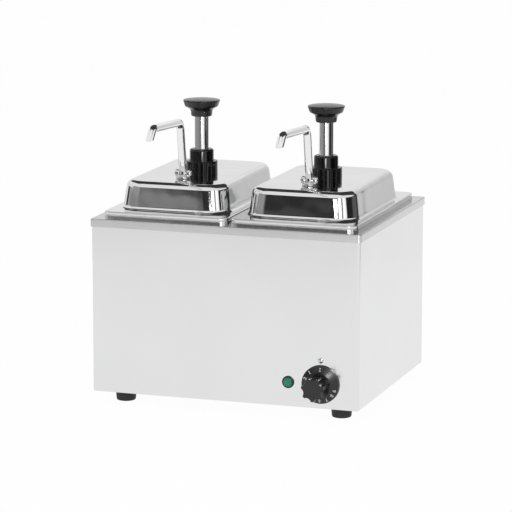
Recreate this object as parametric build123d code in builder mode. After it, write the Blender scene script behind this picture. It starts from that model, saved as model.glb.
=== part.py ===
"""Countertop topping warmer: a steel box with a heated well, two quarter-size pans and two lid pumps.

Millimetres, +Z up, front towards -Y. The origin is the middle of the whole plan outline, level with
the underside of the feet.
"""

import os
from math import cos, radians, sin, sqrt, tan

from build123d import *

os.makedirs("parts", exist_ok=True)

# Housing
side_margin = 9.25  # wrapper beyond the pan rims at the sides
end_margin = 12.5  # wrapper beyond the pan rims at the front and the rear
control_room = 56.0  # bottom edge of the wrapper to the underside of the well
foot_height = 16.0  # bottom edge of the wrapper above the counter
housing_sheet = 1.0
housing_fold = 3.0  # outside radius of the upright folds
housing_lip = 14.0  # lip folded inward along the bottom edge
seat_gap = 0.2  # clearance between pieces that are assembled against each other
push_fit = 0.05  # clearance of pieces pushed or screwed into each other

# Deck
deck_sheet = 1.2
deck_overhang = 1.5  # how far the folded edge stands out beyond the wrapper
deck_skirt = 10.0  # height of the folded edge
deck_edge = 0.7  # broken edge round the top
pan_gap = 2.5  # between the rims of the two pans

# Pans, quarter size
pan_width = 164.5
pan_length = 265.0
pan_corner = 12.0
pan_rim = 12.5  # flat rim from the outer edge to the mouth
pan_lip = 4.0  # turned-down edge that carries the pan on the deck
pan_edge = 1.0
pan_sheet = 0.8
pan_depth = 150.0
pan_taper = 2.8  # degrees
pan_body_corner = 26.0
pan_floor_edge = 7.0  # slope between wall and floor
opening_clearance = 2.0  # pan body to the edge of the deck opening

# Water well
tank_margin = 3.0  # beyond the deck openings
tank_sheet = 1.0
tank_corner = 20.0
tank_rim = 8.0
water_gap = 18.0  # under the pans

# Lids
lid_inset = 0.5  # lid rim inside the edge of the pan rim
lid_lip = 3.5
lid_edge = 1.0
lid_sheet = 1.0
lid_side = 10.75  # flat rim beside the dome
lid_end = 24.0  # flat rim in front of and behind the dome
dome_corner = 28.0
dome_rise = 35.0  # lid rim to the flat top
dome_taper = 7.0  # degrees
dome_top_edge = 3.5  # slope between wall and top
dome_foot_edge = 2.4  # slope between rim and wall

# Base plate and feet
base_sheet = 1.0
vent_length = 46.0
vent_width = 5.0
vent_pitch_x = 62.0
vent_pitch_y = 30.0
foot_inset_x = 32.0  # side of the wrapper to the middle of a foot
foot_inset_y = 34.0  # front or rear of the wrapper to the middle of a foot
foot_top_radius = 13.8
foot_bottom_radius = 12.2
foot_stem_radius = 4.0
foot_barb_radius = 5.5
foot_barb = 4.0  # height of the barb above the base plate

# Control knob and thermostat
knob_inset = 49.0  # right side of the wrapper to the knob axis
knob_rise = 31.0  # knob axis above the bottom edge of the wrapper
knob_gap = 1.0  # wrapper to the back of the skirt
skirt_radius = 24.0
skirt_rim = 2.6
skirt_crown = 6.5
skirt_hollow_radius = 16.0
grip_radius = 14.6
grip_length = 34.0  # back of the skirt to the front of the grip
grip_lobes = 7
grip_scallop_radius = 5.0
grip_scallop_depth = 1.5
grip_chamfer = 0.8
spindle_radius = 3.0
spindle_flat = 2.2  # axis to the flat
spindle_grip = 22.0  # length inside the knob
thermostat_width = 40.0
thermostat_height = 34.0
thermostat_depth = 30.0
thermostat_standoff = 8.0  # wrapper to the thermostat block
bush_radius = 5.0
bush_stand = 4.0  # thread in front of the wrapper
bush_nut_radius = 8.0
bush_nut = 3.0
diaphragm_radius = 14.0
diaphragm_thickness = 4.0

# Pilot lamp and pointer stud
lamp_pitch = 42.0  # knob axis to lamp axis
lamp_flange_radius = 7.8
lamp_flange = 1.8
lamp_sleeve_radius = 6.0
lamp_bore_radius = 5.0
lamp_recess_radius = 6.5
lamp_recess = 1.0
lamp_sleeve_length = 14.0
lens_rise = 1.4
lens_stem = 8.0
lamp_body_length = 20.0
spade_width = 4.0
spade_thickness = 0.8
spade_length = 8.0
stud_pitch = 30.0  # stud above the knob axis
stud_radius = 3.5
stud_rise_front = 2.2
stud_edge = 1.2
stud_shank_radius = 1.9
stud_tail = 2.0

# Heating under the well
element_gap = 18.0  # side of the element to the sensing bulb
element_depth = 130.0
element_thickness = 4.0
element_tab_width = 6.3
element_tab_pitch = 24.0
element_tab_length = 12.0
element_tab = 0.8
clamp_width = 30.0
clamp_sheet = 2.0
clamp_stud_radius = 2.4
clamp_reach = 15.0  # edge of the element to the middle of a stud
clamp_nut_radius = 4.6
clamp_nut = 4.0
bulb_radius = 3.0
bulb_length = 80.0
bulb_inset = 130.0  # front wall to the front end of the bulb
capillary_radius = 0.9

# Cable entry
gland_inset = 55.0  # left side of the wrapper to the gland axis
gland_rise = 31.0
gland_reach = 18.0  # behind the rear wall
gland_hex_radius = 12.5
gland_hex = 5.0
gland_nut_radius = 10.0
gland_sleeve_radius = 8.0
gland_sleeve_length = 12.0
gland_bore_radius = 3.75
gland_locknut_height = 3.5
block_length = 48.0
block_width = 22.0
block_height = 18.0
block_ways = 3
block_pitch = 14.0
block_entry = 6.4
block_screw = 4.0

# Pump
pump_offset = 10.0  # pump axis behind the middle of the lid
spout_pitch = 70.0  # pump axis to spout axis
hole_clearance = 0.3
cylinder_radius = 16.0
cylinder_wall = 1.5
cylinder_shoulder_radius = 20.0
cylinder_shoulder = 2.5
collar_radius = 15.5
collar_height = 15.5
collar_chamfer = 1.6
collar_guide = 25.0  # length of the bore that guides the plunger
nut_radius = 20.2
nut_height = 12.5
nut_flutes = 16
nut_flute_width = 4.2
nut_flute_depth = 1.5
running_clearance = 0.06
stop_gap = 0.3
plunger_radius = 9.25
plunger_wall = 1.2
stroke = 38.0
press_gap = 4.0  # collar to knob at the end of the stroke
press_knob_neck_radius = 14.1
press_knob_neck = 10.5  # underside of the disc above the neck's lower end
press_knob_under_radius = 22.0
press_knob_radius = 23.7
press_knob_rim = 21.0  # widest edge above the neck's lower end
press_knob_crown = 1.6
press_knob_crown_radius = 19.0
press_knob_socket = 13.0
piston_length = 12.0
piston_stub = 10.0
spring_length = 62.0
spring_radius = 11.0
spring_wire = 2.0
spring_pitch = 18.0
spring_runs = 12  # straight runs in one turn
valve_radius = 18.5
valve_floor = 3.0  # between a valve disc and the tube or passage under it
valve_socket = 8.0  # the cylinder stands this deep in it
valve_chamber_radius = 6.0
valve_port_radius = 3.6
valve_bar = 2.0
valve_arm_width = 14.0
valve_arm_height = 13.0
valve_passage_radius = 3.0
disc_radius = 5.0
disc_thickness = 2.5
disc_lift = 3.0
intake_radius = 7.5
intake_wall = 1.0
intake_socket = 8.0
intake_clearance = 8.0  # above the pan floor
intake_notch = 5.0
riser_radius = 6.2
riser_hub_radius = 9.0
riser_socket = 6.0
riser_shoulder_radius = 8.5
riser_shoulder = 2.0
riser_stand = 4.0  # thread standing above the lid
wing_hub_radius = 9.0
wing_hub_height = 5.5
wing_span = 23.0
wing_lobe_radius = 4.0
wing_lobe_rise = 7.0
wing_thickness = 3.0

# Spout
spout_radius = 5.0
spout_wall = 0.8
spout_overhang = 42.0  # tip beyond the front wall
spout_depth = 22.0  # length inside the riser
spout_lean = 9.5  # degrees, forward
spout_lean_start = 9.0  # above the lid
spout_rise = 73.5  # lid to the upper bend
spout_arm_rise = 4.5  # upper bend to the front bend
spout_drop = 14.0  # front bend to the level cut of the tip
spout_tip_angle = 45.0  # degrees from upright
spout_bend = 10.0
spout_lean_bend = 40.0

# Worked out
bay_pitch = pan_width + pan_gap
body_width = 2 * pan_width + pan_gap + 2 * side_margin
body_depth = pan_length + 2 * end_margin
housing_y = (spout_overhang - gland_reach) / 2
front_y = housing_y - body_depth / 2
rear_y = housing_y + body_depth / 2
inner_width = body_width - 2 * housing_sheet
inner_depth = body_depth - 2 * housing_sheet
mouth_width = pan_width - 2 * pan_rim
mouth_length = pan_length - 2 * pan_rim
opening_width = mouth_width + 2 * opening_clearance
opening_length = mouth_length + 2 * opening_clearance
opening_corner = pan_body_corner + opening_clearance
tank_width = bay_pitch + opening_width + 2 * (tank_margin + tank_sheet)
tank_length = opening_length + 2 * (tank_margin + tank_sheet)
tank_depth = pan_depth - pan_lip - deck_sheet + water_gap + tank_sheet
tank_bottom = foot_height + control_room
tank_top = tank_bottom + tank_depth
deck_top = tank_top + deck_sheet
wrapper_height = tank_top - foot_height
base_z = foot_height + housing_sheet
lid_seat = deck_top + pan_lip
lid_width = pan_width - 2 * lid_inset
lid_length = pan_length - 2 * lid_inset
dome_width = lid_width - 2 * lid_side
dome_length = lid_length - 2 * lid_end
rim_z = lid_seat + lid_lip
lid_top = rim_z + dome_rise
lid_under = lid_top - lid_sheet
pump_y = housing_y + pump_offset
spout_y = pump_y - spout_pitch
knob_z = foot_height + knob_rise
stud_z = knob_z + stud_pitch
knob_x = body_width / 2 - knob_inset
lamp_x = knob_x - lamp_pitch
gland_x = gland_inset - body_width / 2
foot_x = body_width / 2 - foot_inset_x
foot_y = body_depth / 2 - foot_inset_y
element_width = 2 * (knob_x - bulb_radius - element_gap)
clamp_stud_pitch = element_depth + 2 * clamp_reach
gland_z = foot_height + gland_rise
foot_points = [(x, y) for x in (-foot_x, foot_x) for y in (-foot_y, foot_y)]
pan_floor_z = lid_seat - pan_depth + pan_sheet
cylinder_top = lid_top + nut_height + collar_height
cylinder_bore = cylinder_radius - cylinder_wall
piston_top = cylinder_top - collar_guide - stop_gap
spring_top = piston_top - piston_length
spring_floor = spring_top - spring_length
press_knob_z = cylinder_top + stroke + press_gap
chamber_depth = disc_thickness + disc_lift + stop_gap
inlet_seat = spring_floor - valve_bar - chamber_depth
hub_bottom = inlet_seat - valve_floor - intake_socket
passage_z = spring_floor - valve_arm_height / 2
outlet_seat = passage_z + valve_passage_radius + valve_floor
riser_bottom = outlet_seat + chamber_depth
spout_bottom = lid_top - spout_depth
sides = {"left": -bay_pitch / 2, "right": bay_pitch / 2}


def facing_up(x, y, z):
    return Plane(origin=(x, y, z), x_dir=(1, 0, 0), z_dir=(0, 0, 1))


def facing_down(x, y, z):
    return Plane(origin=(x, y, z), x_dir=(1, 0, 0), z_dir=(0, 0, -1))


def facing_front(x, y, z):
    """Upright plane: local x runs along X, local y along Z, and it faces -Y."""
    return Plane(origin=(x, y, z), x_dir=(1, 0, 0), z_dir=(0, -1, 0))


def facing_along_front(x, y, z):
    """Level plane for turned pieces on a front-to-back axis: local x along X, local y along -Y."""
    return Plane(origin=(x, y, z), x_dir=(1, 0, 0), z_dir=(0, 0, -1))


def outline(plane, points):
    """Closed outline of straight sides through points on a plane."""
    with BuildSketch(plane) as closed:
        with BuildLine():
            Polyline(*points, close=True)
        make_face()
    return closed.sketch


def level_loop(z, x, width, length):
    """Picks the level edges at height z that lie within a rectangle about the middle of a bay."""

    def picked(edge):
        box = edge.bounding_box()
        middle = box.center()
        level = max(abs(box.min.Z - z), abs(box.max.Z - z)) < push_fit
        return level and abs(middle.X - x) <= width / 2 and abs(middle.Y - housing_y) <= length / 2

    return picked


def drawn_form(plane, width, length, corner, depth, taper, end_edge):
    """Tapered block with rounded corners and a broken far edge, standing on or hanging from a level plane."""
    with BuildPart() as form:
        with BuildSketch(plane):
            RectangleRounded(width, length, corner)
        extrude(amount=depth, taper=taper)
        far_end = edges().group_by(Axis(plane.origin, plane.z_dir))[-1]
        chamfer(far_end, end_edge)
    return form.part


def finish(piece, name):
    """Name a finished piece and write it to its own file."""
    piece.label = name
    export_step(piece, f"parts/{name}.step")


# Wrapper: one folded sheet with an inward lip along the bottom edge
with BuildPart() as wrapper:
    with BuildSketch(facing_up(0, housing_y, foot_height)):
        RectangleRounded(body_width, body_depth, housing_fold)
    extrude(amount=wrapper_height)
    with BuildSketch(facing_up(0, housing_y, base_z)):
        RectangleRounded(inner_width, inner_depth, housing_fold - housing_sheet)
    extrude(amount=wrapper_height, mode=Mode.SUBTRACT)
    with BuildSketch(facing_up(0, housing_y, foot_height)):
        Rectangle(body_width - 2 * housing_lip, body_depth - 2 * housing_lip)
    extrude(amount=housing_sheet, mode=Mode.SUBTRACT)
    with BuildSketch(facing_front(0, front_y, 0)):
        with Locations((knob_x, knob_z)):
            Circle(bush_radius + seat_gap)
        with Locations((lamp_x, knob_z)):
            Circle(lamp_sleeve_radius + seat_gap)
        with Locations((knob_x, stud_z)):
            Circle(stud_shank_radius + seat_gap)
    extrude(amount=-housing_sheet, mode=Mode.SUBTRACT)
    with BuildSketch(facing_front(gland_x, rear_y, gland_z)):
        Circle(gland_sleeve_radius + seat_gap)
    extrude(amount=housing_sheet, mode=Mode.SUBTRACT)
finish(wrapper.part, "housing_wrapper")

# Base plate on the lip, with vent slots
with BuildPart() as base_plate:
    with BuildSketch(facing_up(0, housing_y, base_z)):
        RectangleRounded(inner_width - 2 * seat_gap, inner_depth - 2 * seat_gap, housing_fold - housing_sheet)
        with GridLocations(vent_pitch_x, vent_pitch_y, 3, 3):
            Rectangle(vent_length, vent_width, mode=Mode.SUBTRACT)
        with Locations(*foot_points):
            Circle(foot_stem_radius + push_fit, mode=Mode.SUBTRACT)
    extrude(amount=base_sheet)
finish(base_plate.part, "base_plate")

# Push-in rubber feet: each stem goes through the base plate and its barb holds above it
with BuildPart() as foot:
    foot_outline = outline(
        facing_front(0, 0, 0),
        [
            (0, 0),
            (foot_bottom_radius, 0),
            (foot_top_radius, base_z),
            (foot_stem_radius, base_z),
            (foot_stem_radius, base_z + base_sheet),
            (foot_barb_radius, base_z + base_sheet),
            (foot_barb_radius, base_z + base_sheet + foot_barb),
            (0, base_z + base_sheet + foot_barb),
        ],
    )
    revolve(foot_outline, axis=Axis.Z)
with BuildPart() as feet:
    with Locations(*[(x, housing_y + y, 0) for x, y in foot_points]):
        add(foot.part)
finish(feet.part, "rubber_feet")

# Deck: folded edge all round and one opening for each pan
with BuildPart() as deck:
    with BuildSketch(facing_down(0, housing_y, deck_top)):
        RectangleRounded(body_width + 2 * deck_overhang, body_depth + 2 * deck_overhang, housing_fold)
    extrude(amount=deck_skirt)
    chamfer(edges().group_by(Axis.Z)[-1], deck_edge)
    with BuildSketch(facing_down(0, housing_y, tank_top)):
        RectangleRounded(body_width + 2 * seat_gap, body_depth + 2 * seat_gap, housing_fold)
    extrude(amount=deck_skirt, mode=Mode.SUBTRACT)
    with BuildSketch(facing_down(0, housing_y, deck_top)):
        with GridLocations(bay_pitch, 0, 2, 1):
            RectangleRounded(opening_width, opening_length, opening_corner)
    extrude(amount=deck_sheet, mode=Mode.SUBTRACT)
finish(deck.part, "deck_plate")

# Water well under the deck
with BuildPart() as tank:
    with BuildSketch(facing_down(0, housing_y, tank_top)):
        RectangleRounded(tank_width, tank_length, tank_corner)
    extrude(amount=tank_depth)
    offset(amount=-tank_sheet, openings=faces().sort_by(Axis.Z)[-1])
    with BuildSketch(facing_down(0, housing_y, tank_top)):
        RectangleRounded(tank_width + 2 * tank_rim, tank_length + 2 * tank_rim, tank_corner + tank_rim)
        RectangleRounded(
            tank_width - 2 * tank_sheet,
            tank_length - 2 * tank_sheet,
            tank_corner - tank_sheet,
            mode=Mode.SUBTRACT,
        )
    extrude(amount=tank_sheet)
finish(tank.part, "well_tank")

# Flat heating element against the well floor, with two tabs for its wires
with BuildPart() as element:
    with BuildSketch(facing_down(0, housing_y, tank_bottom - seat_gap)):
        Rectangle(element_width, element_depth)
    extrude(amount=element_thickness)
    tab_x = (element_width + element_tab_length) / 2
    with BuildSketch(facing_down(tab_x, housing_y, tank_bottom - seat_gap - element_thickness / 2)):
        with GridLocations(0, element_tab_pitch, 1, 2):
            Rectangle(element_tab_length, element_tab_width)
    extrude(amount=element_tab)
finish(element.part, "heating_element")

# Clamp bar across the element, with two studs and nuts that hold it up
clamp_top = tank_bottom - 2 * seat_gap - element_thickness
with BuildPart() as clamp:
    with BuildSketch(facing_down(0, housing_y, clamp_top)):
        Rectangle(clamp_width, clamp_stud_pitch + clamp_width)
    extrude(amount=clamp_sheet)
    with BuildSketch(facing_down(0, housing_y, tank_bottom)):
        with GridLocations(0, clamp_stud_pitch, 1, 2):
            Circle(clamp_stud_radius)
    extrude(amount=tank_bottom - clamp_top + clamp_sheet + 2 * clamp_nut)
    with BuildSketch(facing_down(0, housing_y, clamp_top - clamp_sheet)):
        with GridLocations(0, clamp_stud_pitch, 1, 2):
            RegularPolygon(clamp_nut_radius, 6)
    extrude(amount=clamp_nut)
finish(clamp.part, "element_clamp")

# Thermostat block with its bush through the wrapper, and the nut that holds the bush
inner_front_y = front_y + housing_sheet
thermostat_y = front_y + thermostat_standoff
with BuildPart() as thermostat:
    with BuildSketch(facing_front(knob_x, thermostat_y, knob_z)):
        Rectangle(thermostat_width, thermostat_height)
    extrude(amount=-thermostat_depth)
    with BuildSketch(facing_front(knob_x, thermostat_y + thermostat_depth, knob_z)):
        Circle(diaphragm_radius)
    extrude(amount=-diaphragm_thickness)
    with BuildSketch(facing_front(knob_x, inner_front_y, knob_z)):
        Circle(bush_nut_radius)
    extrude(amount=-(thermostat_standoff - housing_sheet))
    with BuildSketch(facing_front(knob_x, front_y - bush_stand, knob_z)):
        Circle(bush_radius)
    extrude(amount=-(bush_stand + thermostat_standoff))
    with BuildSketch(facing_front(knob_x, front_y - bush_stand, knob_z)):
        Circle(spindle_radius + running_clearance)
    extrude(amount=-(bush_stand + thermostat_standoff + thermostat_depth / 2), mode=Mode.SUBTRACT)
finish(thermostat.part, "thermostat")

with BuildPart() as bush_nut_piece:
    with BuildSketch(facing_front(knob_x, front_y, knob_z)):
        RegularPolygon(bush_nut_radius, 6)
        Circle(bush_radius + push_fit, mode=Mode.SUBTRACT)
    extrude(amount=bush_nut)
finish(bush_nut_piece.part, "thermostat_nut")

# Spindle with a flat along the stretch inside the knob
spindle_reach = knob_gap + spindle_grip
with BuildPart() as spindle:
    with BuildSketch(facing_front(knob_x, front_y, knob_z)):
        Circle(spindle_radius)
    extrude(amount=-(thermostat_standoff + thermostat_depth / 2 - stop_gap))
    with BuildSketch(facing_front(knob_x, front_y, knob_z)):
        Circle(spindle_radius)
        with Locations((0, spindle_flat + spindle_radius)):
            Rectangle(2 * spindle_radius, 2 * spindle_radius, mode=Mode.SUBTRACT)
    extrude(amount=spindle_reach)
finish(spindle.part, "thermostat_spindle")

# Control knob: conical skirt, hollow behind, and a lobed grip bored for the spindle
knob_axis = Axis((knob_x, front_y, knob_z), (0, -1, 0))
skirt_back = knob_gap
with BuildPart() as knob:
    skirt_outline = outline(
        facing_along_front(knob_x, front_y, knob_z),
        [
            (0, bush_stand + stop_gap),
            (skirt_hollow_radius, bush_stand + stop_gap),
            (skirt_hollow_radius, skirt_back),
            (skirt_radius, skirt_back),
            (skirt_radius, skirt_back + skirt_rim),
            (grip_radius, skirt_back + skirt_crown),
            (0, skirt_back + skirt_crown),
        ],
    )
    revolve(skirt_outline, axis=knob_axis)
    with BuildSketch(facing_front(knob_x, front_y - skirt_back - skirt_crown, knob_z)):
        Circle(grip_radius)
        with PolarLocations(grip_radius + grip_scallop_radius - grip_scallop_depth, grip_lobes, 90):
            Circle(grip_scallop_radius, mode=Mode.SUBTRACT)
    extrude(amount=grip_length - skirt_crown)
    chamfer(faces().sort_by(Axis.Y)[0].edges(), grip_chamfer)
    with BuildSketch(facing_front(knob_x, front_y, knob_z)):
        Circle(spindle_radius + push_fit)
        with Locations((0, spindle_flat + push_fit + spindle_radius)):
            Rectangle(2 * spindle_radius + 1, 2 * spindle_radius, mode=Mode.SUBTRACT)
    extrude(amount=spindle_reach + stop_gap, mode=Mode.SUBTRACT)
finish(knob.part, "control_knob")

# Sensing bulb under the well, in line with the thermostat, and its capillary
bulb_z = tank_bottom - seat_gap - bulb_radius
thermostat_back = (knob_x, thermostat_y + thermostat_depth + diaphragm_thickness, knob_z)
bulb_front = (knob_x, front_y + bulb_inset, bulb_z)
with BuildPart() as bulb:
    with BuildSketch(facing_front(*bulb_front)):
        Circle(bulb_radius)
    extrude(amount=-bulb_length)
    with BuildLine() as capillary_route:
        Line(thermostat_back, bulb_front)
    with BuildSketch(Plane(origin=thermostat_back, z_dir=capillary_route.line % 0)):
        Circle(capillary_radius)
    sweep(path=capillary_route.line)
    split(bisect_by=facing_front(*thermostat_back), keep=Keep.BOTTOM)
finish(bulb.part, "sensing_bulb")

# Pilot lamp: bezel through the wrapper, domed lens in front, lamp body behind
lamp_axis = Axis((lamp_x, front_y, knob_z), (0, -1, 0))
lamp_plane = facing_along_front(lamp_x, front_y, knob_z)
with BuildPart() as lamp_bezel:
    bezel_outline = outline(
        lamp_plane,
        [
            (lamp_bore_radius, -lamp_sleeve_length),
            (lamp_sleeve_radius, -lamp_sleeve_length),
            (lamp_sleeve_radius, 0),
            (lamp_flange_radius, 0),
            (lamp_flange_radius, lamp_flange),
            (lamp_recess_radius, lamp_flange),
            (lamp_recess_radius, lamp_flange - lamp_recess),
            (lamp_bore_radius, lamp_flange - lamp_recess),
        ],
    )
    revolve(bezel_outline, axis=lamp_axis)
finish(lamp_bezel.part, "lamp_bezel")

lens_radius = lamp_recess_radius - seat_gap
with BuildPart() as lens:
    lens_outline = outline(
        lamp_plane,
        [
            (0, lamp_flange + lens_rise),
            (lens_radius - lens_rise, lamp_flange + lens_rise),
            (lens_radius, lamp_flange),
            (lens_radius, lamp_flange - lamp_recess),
            (lamp_bore_radius - seat_gap, lamp_flange - lamp_recess),
            (lamp_bore_radius - seat_gap, -lens_stem),
            (0, -lens_stem),
        ],
    )
    revolve(lens_outline, axis=lamp_axis)
finish(lens.part, "lamp_lens")

with BuildPart() as lamp_body:
    with BuildSketch(facing_front(lamp_x, front_y + lens_stem + seat_gap, knob_z)):
        Circle(lamp_bore_radius - seat_gap)
    extrude(amount=-lamp_body_length)
    with BuildSketch(facing_front(lamp_x, front_y + lamp_sleeve_length, knob_z)):
        Circle(lamp_sleeve_radius)
    extrude(amount=-(lens_stem + lamp_body_length - lamp_sleeve_length))
    with BuildSketch(facing_front(lamp_x, front_y + lens_stem + lamp_body_length, knob_z)):
        with GridLocations(lamp_sleeve_radius, 0, 2, 1):
            Rectangle(spade_thickness, spade_width)
    extrude(amount=-spade_length)
finish(lamp_body.part, "lamp_body")

# Pointer stud: low head on a shank through the wrapper
with BuildPart() as stud:
    stud_outline = outline(
        facing_along_front(knob_x, front_y, stud_z),
        [
            (0, stud_rise_front),
            (stud_radius - stud_edge, stud_rise_front),
            (stud_radius, stud_rise_front - stud_edge),
            (stud_radius, 0),
            (stud_shank_radius, 0),
            (stud_shank_radius, -housing_sheet - stud_tail),
            (0, -housing_sheet - stud_tail),
        ],
    )
    revolve(stud_outline, axis=Axis((knob_x, front_y, stud_z), (0, -1, 0)))
finish(stud.part, "pointer_stud")

# Cable entry in the rear wall, locknut inside, and the terminal block on the base plate
with BuildPart() as gland:
    with BuildSketch(facing_front(gland_x, rear_y, gland_z)):
        RegularPolygon(gland_hex_radius, 6)
    extrude(amount=-gland_hex)
    with BuildSketch(facing_front(gland_x, rear_y, gland_z)):
        Circle(gland_nut_radius)
    extrude(amount=-gland_reach)
    with BuildSketch(facing_front(gland_x, rear_y, gland_z)):
        Circle(gland_sleeve_radius)
    extrude(amount=gland_sleeve_length)
    with BuildSketch(facing_front(gland_x, rear_y + gland_reach, gland_z)):
        Circle(gland_bore_radius)
    extrude(amount=gland_reach + gland_sleeve_length, mode=Mode.SUBTRACT)
finish(gland.part, "cable_gland")

with BuildPart() as gland_locknut:
    with BuildSketch(facing_front(gland_x, rear_y - housing_sheet, gland_z)):
        RegularPolygon(gland_hex_radius, 6)
        Circle(gland_sleeve_radius + seat_gap, mode=Mode.SUBTRACT)
    extrude(amount=gland_locknut_height)
finish(gland_locknut.part, "gland_locknut")

block_y = rear_y - 3 * block_width
with BuildPart() as terminal_block:
    with BuildSketch(facing_up(gland_x, block_y, base_z + base_sheet)):
        RectangleRounded(block_length, block_width, 2)
    extrude(amount=block_height)
    with BuildSketch(facing_front(gland_x, block_y - block_width / 2, base_z + base_sheet + block_height / 2)):
        with GridLocations(block_pitch, 0, block_ways, 1):
            Rectangle(block_entry, block_entry)
    extrude(amount=-block_width, mode=Mode.SUBTRACT)
    with BuildSketch(facing_down(gland_x, block_y, base_z + base_sheet + block_height)):
        with GridLocations(block_pitch, 0, block_ways, 1):
            Rectangle(block_screw, block_screw)
    extrude(amount=block_height / 2, mode=Mode.SUBTRACT)
finish(terminal_block.part, "terminal_block")


def make_pan(side, x):
    """Quarter-size pan: tapered body, flat rim and a turned-down edge that stands on the deck."""
    seat = facing_down(x, housing_y, lid_seat)
    body = drawn_form(seat, mouth_width, mouth_length, pan_body_corner, pan_depth, pan_taper, pan_floor_edge)
    hollow = drawn_form(
        seat,
        mouth_width - 2 * pan_sheet,
        mouth_length - 2 * pan_sheet,
        pan_body_corner - pan_sheet,
        pan_depth - pan_sheet,
        pan_taper,
        pan_floor_edge - pan_sheet * tan(radians(22.5)),
    )
    with BuildPart() as pan:
        with BuildSketch(seat):
            RectangleRounded(pan_width, pan_length, pan_corner)
        extrude(amount=pan_lip)
        chamfer(edges().group_by(Axis.Z)[-1], pan_edge)
        with BuildSketch(facing_down(x, housing_y, lid_seat - pan_sheet)):
            RectangleRounded(pan_width - 2 * pan_sheet, pan_length - 2 * pan_sheet, pan_corner - pan_sheet)
        extrude(amount=pan_lip, mode=Mode.SUBTRACT)
        add(body)
        add(hollow, mode=Mode.SUBTRACT)
    finish(pan.part, f"pan_{side}")


def make_lid(side, x):
    """Domed lid: one drawn sheet with a turned-down rim, and holes for the pump and its spout."""
    dome = drawn_form(
        facing_up(x, housing_y, rim_z),
        dome_width,
        dome_length,
        dome_corner,
        dome_rise,
        dome_taper,
        dome_top_edge,
    )
    hollow = drawn_form(
        facing_up(x, housing_y, rim_z - lid_sheet),
        dome_width - 2 * lid_sheet,
        dome_length - 2 * lid_sheet,
        dome_corner - lid_sheet,
        dome_rise,
        dome_taper,
        dome_top_edge - lid_sheet * tan(radians(22.5)),
    )
    with BuildPart() as lid:
        with BuildSketch(facing_up(x, housing_y, lid_seat)):
            RectangleRounded(lid_width, lid_length, pan_corner - lid_inset)
        extrude(amount=lid_lip)
        chamfer(edges().group_by(Axis.Z)[-1], lid_edge)
        with BuildSketch(facing_up(x, housing_y, lid_seat)):
            RectangleRounded(lid_width - 2 * lid_sheet, lid_length - 2 * lid_sheet, pan_corner - lid_inset - lid_sheet)
        extrude(amount=lid_lip - lid_sheet, mode=Mode.SUBTRACT)
        add(dome)
        chamfer(edges().filter_by(level_loop(rim_z, x, dome_width, dome_length)), dome_foot_edge)
        add(hollow, mode=Mode.SUBTRACT)
        chamfer(
            edges().filter_by(level_loop(rim_z - lid_sheet, x, dome_width, dome_length)),
            dome_foot_edge + lid_sheet * tan(radians(22.5)),
        )
        with BuildSketch(facing_up(x, 0, lid_top)):
            with Locations((0, pump_y)):
                Circle(cylinder_radius + hole_clearance)
            with Locations((0, spout_y)):
                Circle(riser_radius + hole_clearance)
        extrude(amount=-2 * lid_sheet, mode=Mode.SUBTRACT)
    finish(lid.part, f"lid_{side}")


def make_cylinder(side, x):
    """Pump cylinder: shoulder under the lid, thread for the lock nut, and a bored head for the plunger."""
    thread_top = lid_top + nut_height
    with BuildPart() as cylinder:
        cylinder_outline = outline(
            facing_front(x, pump_y, 0),
            [
                (cylinder_bore, spring_floor),
                (cylinder_radius, spring_floor),
                (cylinder_radius, lid_under - cylinder_shoulder),
                (cylinder_shoulder_radius, lid_under - cylinder_shoulder),
                (cylinder_shoulder_radius, lid_under),
                (cylinder_radius, lid_under),
                (cylinder_radius, thread_top),
                (collar_radius, thread_top),
                (collar_radius, cylinder_top - collar_chamfer),
                (collar_radius - collar_chamfer, cylinder_top),
                (plunger_radius + running_clearance, cylinder_top),
                (plunger_radius + running_clearance, cylinder_top - collar_guide),
                (cylinder_bore, cylinder_top - collar_guide),
            ],
        )
        revolve(cylinder_outline, axis=Axis((x, pump_y, 0), (0, 0, 1)))
    finish(cylinder.part, f"pump_cylinder_{side}")

    with BuildPart() as lock_nut:
        with BuildSketch(facing_up(x, pump_y, lid_top)):
            Circle(nut_radius)
        extrude(amount=nut_height)
        with BuildSketch(facing_up(x, pump_y, lid_top)):
            Circle(cylinder_radius + push_fit)
            with PolarLocations(nut_radius, nut_flutes):
                with BuildLine():
                    Polyline(
                        (nut_flute_depth, -nut_flute_width / 2),
                        (-nut_flute_depth, -nut_flute_width / 4),
                        (-nut_flute_depth, nut_flute_width / 4),
                        (nut_flute_depth, nut_flute_width / 2),
                        close=True,
                    )
                make_face()
        extrude(amount=nut_height, mode=Mode.SUBTRACT)
    finish(lock_nut.part, f"lock_nut_{side}")


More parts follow.
